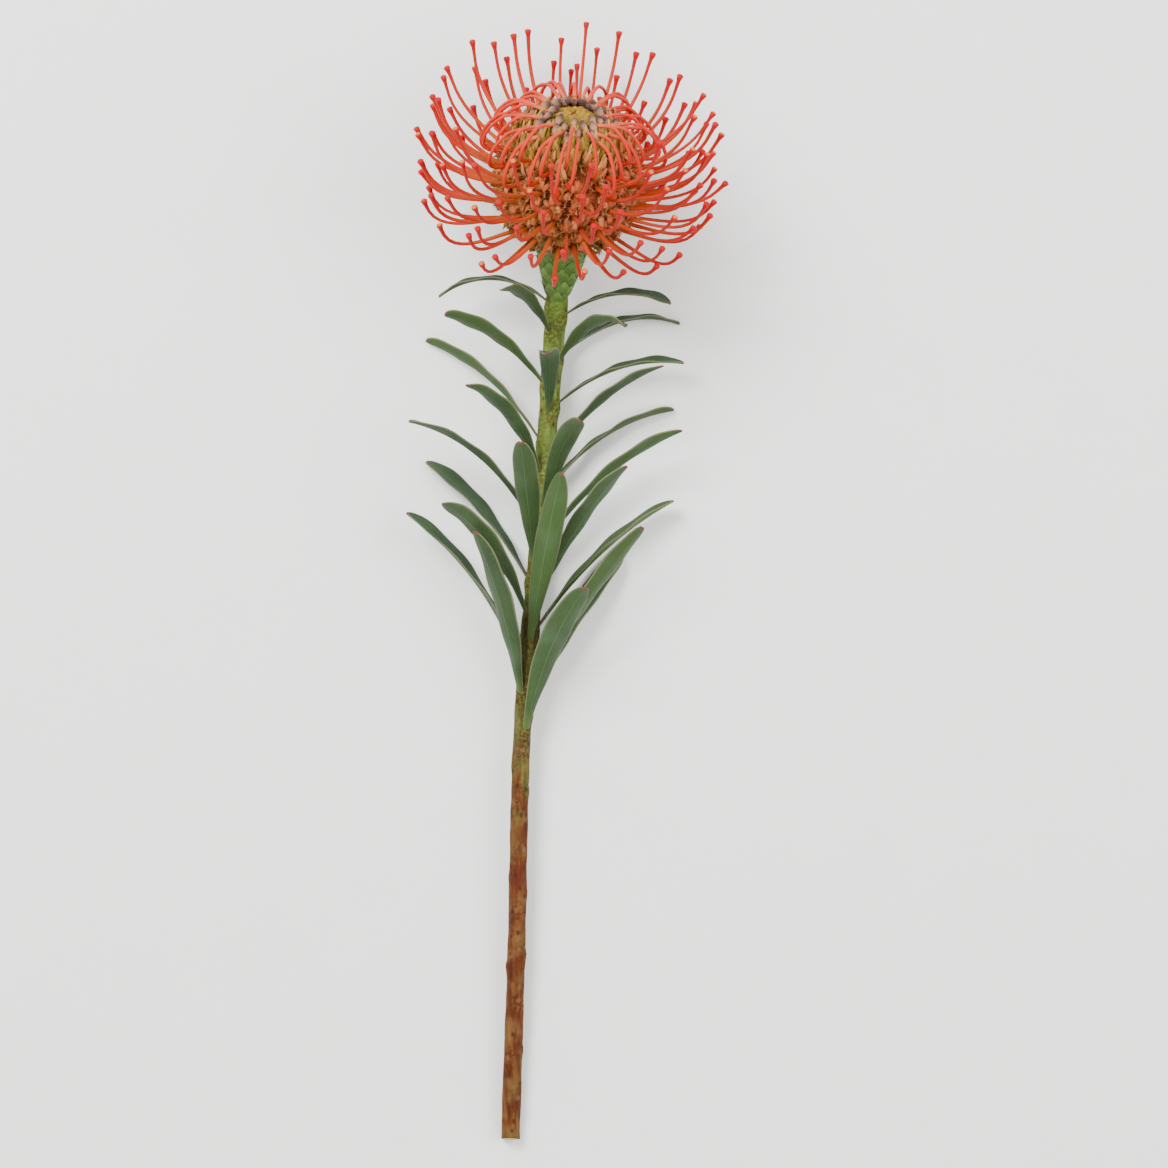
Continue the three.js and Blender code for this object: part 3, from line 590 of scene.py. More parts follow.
upper_side = leaf_finish("leaf_upper", screen(34, 62, 28), screen(15, 31, 17), 0.06)
under_side = leaf_finish("leaf_under", screen(48, 74, 24), screen(26, 43, 17), 0.04)
leaf_edge = leaf_finish("leaf_edge", screen(102, 110, 66), screen(72, 84, 48), 0.04)
for number in range(LEAF_COUNT):
    leaf_name = f"leaf_{number + 1:02d}"
    blade = gathered(f"{leaf_name}_blade", leaf_form, [leaf_copy(number)])
    put(f"{leaf_name}_blade", blade, [upper_side, under_side, leaf_edge], "leaf", leaf_name)

# %% [markdown]
# ## The neck and its scales
# Under the head the stem swells into a neck that is covered in small pointed scales, soft green with a dark
# notch beside each point and grey down. They could be a bump pattern, but they overlap like tiles and their
# points stand off. So each scale is a short ribbon that lies up the neck, in the same spiral as the florets.

# %% Neck
FLORET_TURN = 137.508
NECK_RADII = (4.9, 8.6, 11.6)
NECK_STEPS = 12
SCALE_COUNT = 45
SCALES_FROM = -31.0
SCALES_TO = -6.5
SCALE_LENGTH = 11.5
SCALE_HALF_WIDTH = 4.3
SCALE_STAND = 0.55


def neck_radius(w):
    """Radius of the neck at w, from minus its length at its foot to 0 at its rim."""
    return through(NECK_RADII, (w + NECK_LENGTH) / NECK_LENGTH)


neck_heights = np.linspace(-NECK_LENGTH, 0, NECK_STEPS)
neck_path = np.array([stem_at(STEM_LENGTH + w)[0] for w in neck_heights])
neck_form = tube_form("neck_form", NECK_STEPS, 24)
neck_radii = np.array([neck_radius(w) for w in neck_heights])
neck = bent_tube(neck_form, neck_path, neck_radii, stem_at(STEM_LENGTH)[2], across=0.0, draw=0.5)
scale_form = ribbon_form("scale_form", 4, 7)


def scale_copy(n):
    share = (n + 0.5) / SCALE_COUNT
    w = lerp(SCALES_FROM, SCALES_TO, share**0.8)
    size = lerp(0.68, 1.05, share)
    point, along, up, right = stem_at(STEM_LENGTH + w)
    phi = math.radians(FLORET_TURN * n)
    out = math.cos(phi) * up + math.sin(phi) * right
    side = unit(np.cross(along, out))
    q = np.linspace(0, 1, 7)
    reach = SCALE_LENGTH * size * q
    stand = np.interp(q, [0, 0.35, 1], [-0.5, 0.55, SCALE_STAND + 0.5 * vary(n, 34)])
    skin = np.array([neck_radius(min(w + r, 0)) for r in reach]) + stand
    path = point + reach[:, None] * along + skin[:, None] * out
    toward = unit(np.gradient(path, axis=0))
    half = SCALE_HALF_WIDTH * size * np.sin(math.pi * lerp(0.3, 0.985, q))
    x = scale_form["places"][:, 0]
    lift = -1.15 * x**2 * half[scale_form["ring"]] / SCALE_HALF_WIDTH
    across = np.broadcast_to(side, path.shape)
    facing = np.cross(toward, across)
    facing = np.where(np.sum(facing * out, axis=1, keepdims=True) < 0, -facing, facing)
    return bent_ribbon(scale_form, path, np.cross(toward, facing), facing, half, 0.45, lift, draw=vary(n, 35))


scales = [scale_copy(n) for n in range(SCALE_COUNT)]

# %% Papery bracts at the rim
RIM_COUNT = 110
RIM_LENGTH = 7.5
RIM_HALF_WIDTH = 2.2
RIM_SHARES = (0, 0.3, 1)
RIM_HEIGHTS = (-3.4, 2.6, 10.5)
RIM_RADII = (11.4, 13.6, 20.4)


def rim_bract(n):
    """A dry bract that flares from the rim of the neck, or from between it and the lowest florets."""
    point, along, up, right = stem_at(STEM_LENGTH)
    phi = math.radians(FLORET_TURN * n)
    out = math.cos(phi) * up + math.sin(phi) * right
    share = (n + 0.5) / RIM_COUNT
    q = np.linspace(0, 1, 7)
    step = RIM_LENGTH * (1 + 0.25 * swing(n, 36)) / 6
    flare = np.radians(lerp(14 + 22 * share, 64 + 14 * swing(n, 37), q**0.8))
    w = np.interp(share, RIM_SHARES, RIM_HEIGHTS) - vary(n, 38) + np.cumsum(np.cos(flare)) * step
    r = np.interp(share, RIM_SHARES, RIM_RADII) + np.cumsum(np.sin(flare)) * step
    path = point + w[:, None] * along + r[:, None] * out
    side = unit(np.cross(along, out))
    across = np.broadcast_to(side, path.shape)
    toward = unit(np.gradient(path, axis=0))
    facing = np.cross(across, toward)
    facing = np.where(np.sum(facing * out, axis=1, keepdims=True) < 0, -facing, facing)
    half = RIM_HALF_WIDTH * (1 + 0.2 * swing(n, 39)) * np.sin(math.pi * lerp(0.35, 0.95, q))
    x = scale_form["places"][:, 0]
    lift = -0.7 * x**2 + 0.3 * np.sin(2 * scale_form["ring"] + n) * x
    across = np.cross(toward, facing)
    return bent_ribbon(scale_form, path, across, facing, half, 0.3, lift, draw=vary(n, 29), high=share)


rim_bracts = [rim_bract(n) for n in range(RIM_COUNT)]

# %% Neck finish
def scale_finish():
    scale = Finish("scale", Specular_IOR_Level=0.25, Sheen_Weight=0.06)
    along, across = scale.mark("along"), scale.maths("ABSOLUTE", scale.mark("across"))
    fine = scale.noise(1.3, 4)
    share = scale.maths("MULTIPLY_ADD", scale.mark("draw"), 0.45, scale.maths("MULTIPLY", fine, 0.6))
    colour = scale.ramp(share, (0.2, screen(72, 102, 34)), (0.5, screen(94, 126, 46)), (0.85, screen(118, 150, 66)))
    shade = scale.maths("MULTIPLY", scale.between(along, 0.82, 0.5), 0.5)
    colour = scale.mix(shade, colour, screen(56, 80, 28))
    downy = scale.maths("MULTIPLY", scale.between(along, 0.35, 0.9), scale.between(fine, 0.35, 0.7))
    colour = scale.mix(scale.maths("MULTIPLY", downy, 0.5), colour, screen(124, 152, 90))
    notch = scale.maths("MULTIPLY", scale.between(along, 0.55, 0.68), scale.between(along, 0.92, 0.76))
    notch = scale.maths("MULTIPLY", scale.between(across, 0.7, 1.0), notch)
    colour = scale.mix(scale.maths("MULTIPLY", notch, 0.85), colour, screen(34, 40, 18))
    colour = scale.mix(scale.between(along, 0.94, 1.0), colour, screen(96, 92, 50))
    foot = scale.between(scale.maths("MULTIPLY_ADD", fine, 0.16, along), 0.24, 0.06)
    colour = scale.mix(scale.maths("MULTIPLY", foot, 0.8), colour, screen(92, 112, 46))
    scale.relief(fine, 0.3)
    return scale.done(colour, scale.between(fine, -1.6, 1.2))


def papery_finish():
    paper = Finish("papery_bract", Specular_IOR_Level=0.2, Sheen_Weight=0.06)
    along, fine = paper.mark("along"), paper.noise(1.1, 4)
    share = paper.maths("MULTIPLY_ADD", paper.mark("draw"), 0.5, paper.maths("MULTIPLY", fine, 0.55))
    colour = paper.ramp(share, (0.2, screen(92, 96, 40)), (0.5, screen(124, 108, 58)), (0.85, screen(160, 136, 88)))
    warm = paper.ramp(share, (0.2, screen(112, 94, 28)), (0.5, screen(142, 98, 36)), (0.85, screen(178, 130, 74)))
    colour = paper.mix(paper.between(paper.mark("high"), 0.3, 0.75), colour, warm)
    colour = paper.mix(paper.between(along, 0.4, 0.0), colour, screen(84, 100, 34))
    colour = paper.mix(paper.between(along, 0.75, 1.0), colour, screen(104, 64, 34))
    paper.relief(fine, 0.3)
    return paper.done(colour, paper.between(fine, -1.6, 1.2))


scale_green = scale_finish()
put("neck", gathered("neck", neck_form, [neck]), [scale_green], "bracts")
put("neck_scales", gathered("neck_scales", scale_form, scales), [scale_green] * 3, "bracts", "bracts")
put("rim_bracts", gathered("rim_bracts", scale_form, rim_bracts), [papery_finish()] * 3, "bracts")

# %% [markdown]
# ## The frame of the head
# The head is a dome of florets in one spiral, as in a sunflower. The ones far from the top have sprung open,
# those nearer hold their style in a bow, and the youngest are still shut. A place on the dome is given by the
# angle from its top and the turn round its axis, which keeps every floret's shape the same little formula.

# %% Places on the dome
DOME_CENTRE = 32
DOME_RADIUS = 32
DOME_UPRIGHT = 33
FLORET_COUNT = 184
LOWEST_FLORET = 134
OPEN_FROM = 70
BOWED_FROM = 46
head_foot, head_axis, head_up, head_right = stem_at(STEM_LENGTH)


def head_point(w, r, phi):
    """Point at height w up the head's axis and distance r from it, turned by phi from straight up."""
    w, r, phi = np.broadcast_arrays(w, r, phi)
    sideways = (r * np.cos(phi))[..., None] * head_up + (r * np.sin(phi))[..., None] * head_right
    return head_foot + w[..., None] * head_axis + sideways


def head_direction(gamma, phi):
    """Direction that rises by gamma from the plane across the head."""
    return head_point(np.sin(gamma), np.cos(gamma), phi) - head_foot


def head_side(phi):
    return math.cos(phi) * head_right - math.sin(phi) * head_up


def dome_at(theta, stand=0.0):
    """Height and radius on the dome at angle theta from its top, stand outside its surface."""
    return DOME_CENTRE + (DOME_UPRIGHT + stand) * np.cos(theta), (DOME_RADIUS + stand) * np.sin(theta)


def dome_point(theta, stand, phi):
    w, r = dome_at(theta, stand)
    return head_point(w, r, phi)


def floret_at(n):
    """Angle from the top, turn round the axis, and whether floret n has sprung open."""
    share = (n + 0.5) / FLORET_COUNT
    theta = math.acos(1 - share * (1 - math.cos(math.radians(LOWEST_FLORET))))
    phi = math.radians(FLORET_TURN * n + 4 * swing(n, 11))
    return theta, phi, math.degrees(theta) + 5 * swing(n, 12) > OPEN_FROM


open_ones = [n for n in range(FLORET_COUNT) if floret_at(n)[2]]
closed_ones = [n for n in range(FLORET_COUNT) if not floret_at(n)[2]]
bowed_ones = [n for n in closed_ones if floret_at(n)[0] > math.radians(BOWED_FROM)]
young_ones = [n for n in closed_ones if n not in bowed_ones]
print("florets open:", len(open_ones), "bowed:", len(bowed_ones), "shut:", len(young_ones))

# %% [markdown]
# ## The bed of the florets
# Between the florets one looks down into dark gaps, onto the receptacle that they all stand on. It could be
# left out, but then light falls through the head. So a plain rounded body of revolution fills it, well under
# the florets, in the dark red-brown of old hairs.

# %% Floret bed
BED_DEPTH = 3.0
TOP_DEPTH = 1.7
TOP_EDGES = (28, 66)
bed_angles = np.radians(np.linspace(128, 0.5, 30))
bed_depths = lerp(TOP_DEPTH, BED_DEPTH, smoothstep(np.degrees(bed_angles), *TOP_EDGES))
bed_w, bed_r = dome_at(bed_angles, -bed_depths)
bed_w = np.concatenate([[0.4, 3.0], bed_w])
bed_r = np.concatenate([[9.6, 13.5], bed_r])
bed_form = tube_form("bed_form", len(bed_w), 36)
bed = bent_tube(bed_form, head_point(bed_w, 0.0, 0.0), bed_r, head_up)


def bed_finish():
    felt = Finish("floret_bed", Specular_IOR_Level=0.1, Sheen_Weight=0.2)
    along = felt.mark("along")
    tufts = felt.noise(1.2, 5)
    colour = felt.ramp(tufts, (0.3, screen(106, 43, 17)), (0.55, screen(144, 66, 27)), (0.8, screen(168, 94, 42)))
    olive = felt.ramp(tufts, (0.3, screen(78, 66, 16)), (0.55, screen(110, 92, 14)), (0.8, screen(136, 108, 30)))
    colour = felt.mix(felt.between(along, 0.58, 0.72), colour, olive)
    colour = felt.mix(felt.between(along, 0.2, 0.04), colour, screen(84, 94, 34))
    felt.relief(tufts, 1.0)
    return felt.done(colour, felt.between(tufts, -2.0, 1.0))


put("floret_bed", gathered("floret_bed", bed_form, [bed]), [bed_finish()], "open_florets")

# %% [markdown]
# ## The open florets
# An open floret is a slim hairy tube. Its four petals have sprung apart: three roll back towards the top of
# the head and one rolls the other way. Rolled strips could be spirals made by spin, but the rolls differ in
# size, so a short ribbon is bent along a path that turns more and more tightly.

# %% Style lines of the open florets
STYLE_LENGTHS = (47, 41)
STYLE_START = (34, -14)
STYLE_END = (84, 74)
STYLE_CURL = (1.5, 3.0)
STYLE_FLARE = 16
STYLE_WALK = 20
TUBE_LENGTH = 5
TIP_LENGTH = 3.4


def style_line(n):
    """Points of an open style from the dome to its neck under the tip, its first and last direction."""
    theta, phi, _ = floret_at(n)
    q0 = min(max((math.degrees(theta) - OPEN_FROM) / (LOWEST_FLORET - OPEN_FROM), 0), 1)
    start = math.radians(lerp(*STYLE_START, q0) + 5 * swing(n, 13))
    end = math.radians(lerp(*STYLE_END, q0) + 9 * swing(n, 14))
    length = lerp(*STYLE_LENGTHS, q0) * (1 + 0.08 * swing(n, 15))
    sway = math.radians(12 * swing(n, 16))
    mouth = dome_point(theta, 0.0, phi)
    first = head_direction(start, phi)

    def bend(q):
        flare = math.radians(STYLE_FLARE) * np.maximum(0, (q - 0.8) / 0.2) ** 2
        return start + (end - start) * q ** lerp(*STYLE_CURL, q0) - flare

    q = (np.arange(STYLE_WALK) + 0.5) / STYLE_WALK
    run = length - TUBE_LENGTH - TIP_LENGTH
    walk = head_direction(bend(q), phi + sway * q) * run / STYLE_WALK
    path = mouth + TUBE_LENGTH * first + np.cumsum(walk, axis=0)
    return mouth, first, path, head_direction(bend(np.array(1.0)), phi + sway)


style_lines = {n: style_line(n) for n in open_ones}

# %% Floret tubes
TUBE_ROOT = 7.5
TUBE_RADII = (1.0, 1.5, 1.6, 1.5, 1.75)
MOUTH_AT = -1.6
tube_small = tube_form("floret_tube_form", len(TUBE_RADII), 7)


def floret_tube(n):
    theta, phi, _ = floret_at(n)
    mouth, first, _, _ = style_lines[n]
    reach = np.linspace(-TUBE_ROOT, MOUTH_AT, len(TUBE_RADII))
    path = mouth + reach[:, None] * first
    low = smoothstep(math.degrees(theta), 100, LOWEST_FLORET)
    return bent_tube(tube_small, path, TUBE_RADII, head_side(phi), draw=vary(n, 41), low=low)


tubes = [floret_tube(n) for n in open_ones]

# %% Rolled petals
PETALS = ((-29, 3.2, 0.95), (0, 3.9, 1.3), (29, 3.2, 0.95), (180, 2.3, 1.15))
PETAL_TURNED = 192
PETAL_HALF_WIDTH = 1.25
PETAL_ROOT = 1.15
petal_form = ribbon_form("petal_form", 2, 9)


def rolled_petal(n, turn, roll, wide):
    """A petal that leaves the tube's mouth and rolls back to one side of the style."""
    theta, phi, _ = floret_at(n)
    mouth, first, _, _ = style_lines[n]
    key = 7 * n + turn // 28
    side = head_side(phi)
    upward = unit(np.cross(first, side))
    upward = upward if upward @ head_direction(theta, phi) > 0 else -upward
    around = math.radians(turn + 9 * swing(key, 42))
    toward = math.cos(around) * upward + math.sin(around) * side
    rows = petal_form["ring"].max() + 1
    turned = math.radians(PETAL_TURNED * (1 + 0.28 * swing(key, 43)))
    angle = np.linspace(0, turned, rows)
    radius = roll * (1 + 0.24 * swing(key, 44)) * np.linspace(1.15, 0.6, rows)
    heading = np.cos(angle)[:, None] * first + np.sin(angle)[:, None] * toward
    steps = heading * (radius * turned / (rows - 1))[:, None]
    path = mouth + (MOUTH_AT - 0.5) * first + PETAL_ROOT * toward + np.cumsum(steps, axis=0) - steps[0]
    facing = np.cos(angle)[:, None] * -toward + np.sin(angle)[:, None] * first
    half = PETAL_HALF_WIDTH * wide * np.interp(np.linspace(0, 1, rows), [0, 0.3, 0.85, 1], [0.75, 1, 0.9, 0.5])
    x = petal_form["places"][:, 0]
    low = smoothstep(math.degrees(theta), 104, LOWEST_FLORET)
    return bent_ribbon(petal_form, path, np.cross(heading, facing), facing, half, 0.4, 0.18 * (1 - x**2),
                       draw=vary(key, 45), low=low, right=0.5 + 0.5 * math.sin(phi))


petals = [rolled_petal(n, *petal) for n in open_ones for petal in PETALS]
print("rolled petals:", len(petals))

# %% Bracts between the florets
BRACT_TURNS = (60, 100, 145, 215, 260, 300)
BRACT_ROOT = 6.0
BRACT_LENGTH = 7.2
BRACT_HALF_WIDTH = 2.0
BRACT_OUT = (1.4, 2.6, 4.8)
bract_form = ribbon_form("bract_form", 2, 5)


def small_bract(n, turn):
    """A hairy bract that stands beside a floret's foot and fills the gap to its neighbour."""
    theta, phi, opened = floret_at(n)
    key = 11 * n + turn // 40
    way = style_lines[n][1] if opened else head_direction(math.radians(100) - theta, phi)
    side = head_side(phi)
    upward = unit(np.cross(way, side))
    upward = upward if upward @ head_direction(theta, phi) > 0 else -upward
    around = math.radians(turn + 14 * swing(key, 54))
    outward = math.cos(around) * upward + math.sin(around) * side
    end = lerp(BRACT_OUT[1], BRACT_OUT[2], vary(key, 59))
    q = np.linspace(0, 1, bract_form["ring"].max() + 1)
    reach = BRACT_LENGTH * (1 + 0.2 * swing(key, 55)) * q - BRACT_ROOT
    path = dome_point(theta, 0.0, phi) + reach[:, None] * way + lerp(BRACT_OUT[0], end, q**1.5)[:, None] * outward
    half = BRACT_HALF_WIDTH * np.sin(math.pi * lerp(0.3, 0.97, q))
    facing = np.broadcast_to(outward, path.shape)
    across = np.broadcast_to(np.cross(way, outward), path.shape)
    lift = -0.6 * bract_form["places"][:, 0] ** 2
    low = smoothstep(math.degrees(theta), 104, LOWEST_FLORET)
    right = 0.5 + 0.5 * math.sin(phi)
    return bent_ribbon(bract_form, path, across, facing, half, 0.4, lift, draw=vary(key, 56), low=low, right=right)


bracts = [small_bract(n, turn) for n in open_ones + bowed_ones for turn in BRACT_TURNS]
print("small bracts:", len(bracts))

# %% Floret finishes
def petal_finish():
    petal = Finish("rolled_petal", Specular_IOR_Level=0.15, Sheen_Weight=0.1, Sheen_Roughness=0.5)
    petal.shader.inputs["Sheen Tint"].default_value = screen(255, 200, 160)
    along, across = petal.mark("along"), petal.maths("ABSOLUTE", petal.mark("across"))
    fine = petal.noise(0.8, 3)
    share = petal.maths("MULTIPLY_ADD", petal.mark("draw"), 0.6, petal.maths("MULTIPLY", fine, 0.5))
    left = petal.ramp(share, (0.15, screen(138, 104, 34)), (0.42, screen(184, 114, 52)),
                      (0.66, screen(216, 116, 58)), (0.92, screen(228, 152, 92)))
    right = petal.ramp(share, (0.15, screen(160, 74, 34)), (0.42, screen(196, 88, 50)),
                       (0.66, screen(218, 98, 60)), (0.92, screen(228, 136, 94)))
    colour = petal.mix(petal.between(petal.mark("right"), 0.1, 0.8), left, right)
    colour = petal.mix(petal.between(along, 0.25, 0.0), colour, screen(140, 44, 6))
    colour = petal.mix(petal.maths("MULTIPLY", petal.between(across, 0.45, 1.0), 0.4), colour, screen(132, 56, 20))
    colour = petal.mix(petal.between(along, 0.66, 1.0), colour, screen(112, 54, 22))
    stripes = petal.between(petal.maths("SINE", petal.maths("MULTIPLY_ADD", fine, 3.0, petal.maths("MULTIPLY", across, 14))), 0.1, 0.9)
    colour = petal.mix(petal.maths("MULTIPLY", stripes, 0.3), colour, screen(150, 70, 26))
    colour = petal.mix(petal.maths("MULTIPLY", petal.mark("low"), 0.62), colour, screen(148, 108, 24))
    petal.relief(petal.maths("MULTIPLY_ADD", stripes, -0.5, fine), 0.4)
    return petal.done(colour, petal.between(fine, -1.4, 1.4))


def tube_finish():
    tube = Finish("floret_tube", Specular_IOR_Level=0.25, Sheen_Weight=0.08)
    along = tube.mark("along")
    fine = tube.noise(0.9, 3)
    high = tube.ramp(along, (0.2, screen(86, 35, 14)), (0.7, screen(140, 66, 28)), (1.0, screen(172, 76, 30)))
    low = tube.ramp(along, (0.2, screen(82, 92, 26)), (0.6, screen(128, 114, 24)), (1.0, screen(152, 84, 16)))
    tube.relief(fine, 0.25)
    return tube.done(tube.mix(tube.mark("low"), high, low), tube.between(fine, -1.4, 1.4))


def bract_finish():
    bract = Finish("small_bract", Specular_IOR_Level=0.2, Sheen_Weight=0.08)
    along = bract.mark("along")
    fine = bract.noise(0.9, 4)
    share = bract.maths("MULTIPLY_ADD", bract.mark("draw"), 0.7, bract.maths("MULTIPLY", fine, 0.35))
    tip = bract.ramp(share, (0.15, screen(130, 98, 36)), (0.5, screen(168, 88, 44)), (0.9, screen(208, 134, 86)))
    olive = bract.maths("MULTIPLY", bract.between(bract.mark("right"), 0.7, 0.1), bract.between(fine, 0.35, 0.6))
    tip = bract.mix(bract.maths("MULTIPLY", olive, 0.7), tip, screen(118, 100, 26))
    colour = bract.mix(bract.between(along, 0.3, 0.9), screen(92, 42, 18), tip)
    colour = bract.mix(bract.maths("MULTIPLY", bract.mark("low"), 0.6), colour, screen(112, 106, 30))
    bract.relief(fine, 0.3)
    return bract.done(colour, bract.between(fine, -1.6, 1.2))


petal_tan = petal_finish()
tube_orange = tube_finish()
put("floret_tubes", gathered("floret_tubes", tube_small, tubes), [tube_orange], "open_florets")
put("rolled_petals", gathered("rolled_petals", petal_form, petals), [petal_tan] * 3, "open_florets")
put("floret_bracts", gathered("floret_bracts", bract_form, bracts), [bract_finish()] * 3, "open_florets")

# %% [markdown]
# ## The styles
# The pins of the cushion are the styles: waxy threads, orange at the foot and coral to red above, each with a
# match-like tip that carries the pollen. They could be curves with one bevel, but a style thickens at its tip
# and thins below it, so each is a bent tube with a radius for every ring.

# %% Open styles
STYLE_RADIUS = 0.95
TIP_STEPS = (0.6, 1.7, 2.9, 3.5)
TIP_RADII = (1.08, 1.36, 1.6, 0.9)
NECK_SHARES = np.interp(np.arange(10), (0, 7, 8, 9), (1.0, 0.83, 0.86, 1.0))
style_form = tube_form("style_form", 17, 6)


def open_style(n):
    theta, phi, _ = floret_at(n)
    mouth, first, line, last = style_lines[n]
    foot = mouth + np.array([[-5.0], [-1.0], [5.0]]) * first
    tip = line[-1] + np.array(TIP_STEPS)[:, None] * last
    path = np.concatenate([foot, line[1::2], tip])
    fat = STYLE_RADIUS * (1 + 0.07 * swing(n, 46))
    radii = np.concatenate([[1.1 * fat] * 3, fat * NECK_SHARES, TIP_RADII])
    path[:, 2] = rest(path[:, 2], 0.6 * radii, 1.0)
    lit = 0.5 + 0.35 * math.sin(phi) + 0.25 * swing(n, 47)
    return bent_tube(style_form, path, radii, head_side(phi), draw=vary(n, 48), lit=lit)


styles = [open_style(n) for n in open_ones]

# %% Bowed styles
BOW_BULGE = (5, 14)
BOW_DROP = 11
ROOT_DEPTH = 5
KNOB_RING = (15, 32)
BUD_GATHER = 0.24
KNOB_STAND = 2.2
bow_form = tube_form("bow_form", 17, 6)


round_the_crown = sorted(bowed_ones, key=lambda n: floret_at(n)[1] % math.tau)
shares_of_turn = {n: (i + 0.5) / len(bowed_ones) for i, n in enumerate(round_the_crown)}
missing = [shares_of_turn[n] - floret_at(n)[1] % math.tau / math.tau for n in round_the_crown]
KNOB_EVENNESS = 0.75


def knob_at(n):
    """Where the tip of a closed floret is gathered to: its angle from the top and its turn."""
    theta, phi, _ = floret_at(n)
    if theta <= math.radians(BOWED_FROM):
        return theta * BUD_GATHER, phi + math.radians(5 * swing(n, 17))
    even = (shares_of_turn[n] - np.mean(missing)) * math.tau
    aside = (even - phi + math.pi) % math.tau - math.pi
    share = (theta - math.radians(BOWED_FROM)) / math.radians(OPEN_FROM - BOWED_FROM)
    ring = math.radians(lerp(*KNOB_RING, min(share, 1)))
    return ring, phi + KNOB_EVENNESS * aside + math.radians(3 * swing(n, 17))


def bowed_style(n):
    theta, phi, _ = floret_at(n)
    knob_theta, knob_phi = knob_at(n)
    bulge = lerp(*BOW_BULGE, min(theta / math.radians(OPEN_FROM), 1)) * (1 + 0.18 * swing(n, 18))
    q = np.linspace(0, 1, 17)
    drop = math.radians(BOW_DROP) * np.sin(math.pi * np.minimum(1, 1.6 * q))
    angle = lerp(theta, knob_theta + math.radians(4), q**1.35) + drop
    stand = bulge * np.sin(math.pi * q**0.85) + lerp(-ROOT_DEPTH, KNOB_STAND, q**0.7)
    path = dome_point(angle, stand, lerp(phi, knob_phi, q))
    radii = np.interp(q, [0, 0.7, 0.9, 1], [0.98, 0.84, 0.95, 1.45]) * STYLE_RADIUS
    path[:, 2] = rest(path[:, 2], 0.6 * radii, 1.0)
    lit = 0.5 + 0.35 * math.sin(phi) + 0.25 * swing(n, 47)
    return bent_tube(bow_form, path, radii, head_side(phi), draw=vary(n, 49), lit=lit)


bows = [bowed_style(n) for n in bowed_ones]

# %% Style finishes
def wax_finish(name, stops, deep, tip=None, pollen=None):
    wax = Finish(name, Specular_IOR_Level=0.14, Subsurface_Weight=0.06, Subsurface_Scale=0.002)
    wax.shader.inputs["Subsurface Radius"].default_value = (1.0, 0.35, 0.2)
    along = wax.mark("along")
    colour = wax.ramp(along, *stops)
    shade = wax.maths("MULTIPLY_ADD", wax.mark("lit"), 0.6, wax.maths("MULTIPLY", wax.noise(7, 2), 0.4))
    colour = wax.mix(wax.maths("MULTIPLY", wax.between(shade, 0.3, 0.85), 0.6), colour, deep)
    if tip:
        colour = wax.mix(wax.between(along, 0.7, 0.82), colour, tip)
    if pollen:
        ripe = wax.between(wax.mark("draw"), 0.56, 0.66)
        dusted = wax.maths("MULTIPLY", wax.between(along, 0.96, 1.0), ripe)
        colour = wax.mix(dusted, colour, pollen)
    fine = wax.noise(0.7, 2)
    wax.relief(fine, 0.05)
    return wax.done(colour, wax.between(fine, -0.9, 1.8))


STYLE_STOPS = ((0.0, screen(164, 90, 33)), (0.22, screen(190, 77, 33)), (0.45, screen(183, 49, 22)),
               (0.75, screen(170, 29, 16)))
BOW_STOPS = ((0.0, screen(168, 60, 10)), (0.35, screen(188, 36, 16)), (0.75, screen(202, 58, 34)),
             (1.0, screen(214, 116, 86)))
style_wax = wax_finish("style_wax", STYLE_STOPS, screen(155, 23, 14), screen(173, 6, 12), screen(196, 110, 32))
bow_wax = wax_finish("bow_wax", BOW_STOPS, screen(166, 22, 14))
put("open_styles", gathered("open_styles", style_form, styles), [style_wax], "open_florets", "open_florets")
put("bowed_styles", gathered("bowed_styles", bow_form, bows), [bow_wax], "open_florets")

# %% [markdown]
# ## The crown
# At the top the florets are still shut. Each is a downy sheath that leans up the dome and ends in a woolly knob,
# where the tip of its bowed style is still held. The knobs could be plain spheres, but a real one is made of
# four joined petal tips. So a sphere of few faces is stretched and gets four shallow grooves.

# %% Closed sheaths
SHEATH_ROWS = 9
SHEATH_RADII = (1.1, 1.7, 2.05, 2.15, 2.0, 1.8, 1.6, 1.4, 1.35)
YOUNG_LEAN = 12
sheath_form = tube_form("sheath_form", SHEATH_ROWS, 8)


def at_back(phi):
    """0 on the side of the head that faces up, 1 on the far side, a little more to the right."""
    return float(np.clip(0.5 - 0.5 * math.cos(phi) + 0.2 * math.sin(phi), 0, 1))


def sheath_line(n, q, lift=0.0, aside=0.0):
    """Points at shares q of a sheath's middle line, which can be lifted off it or moved to its side."""
    theta, phi, _ = floret_at(n)
    knob_theta, knob_phi = knob_at(n)
    stand = np.interp(q, [0, 0.2, 0.65, 1], [-5.5, -1.2, 0.2, KNOB_STAND])
    angle = lerp(theta, knob_theta + math.radians(3), q)
    return dome_point(angle, stand + lift, lerp(phi, knob_phi, q**1.4) + aside)


def bowed_sheath(n):
    """From the floret's foot up the dome to its knob."""
    phi = floret_at(n)[1]
    path = sheath_line(n, np.linspace(0, 1, SHEATH_ROWS))
    marks = {"draw": vary(n, 50), "young": 0.0, "back": at_back(phi)}
    return bent_tube(sheath_form, path, SHEATH_RADII, head_side(phi), **marks)


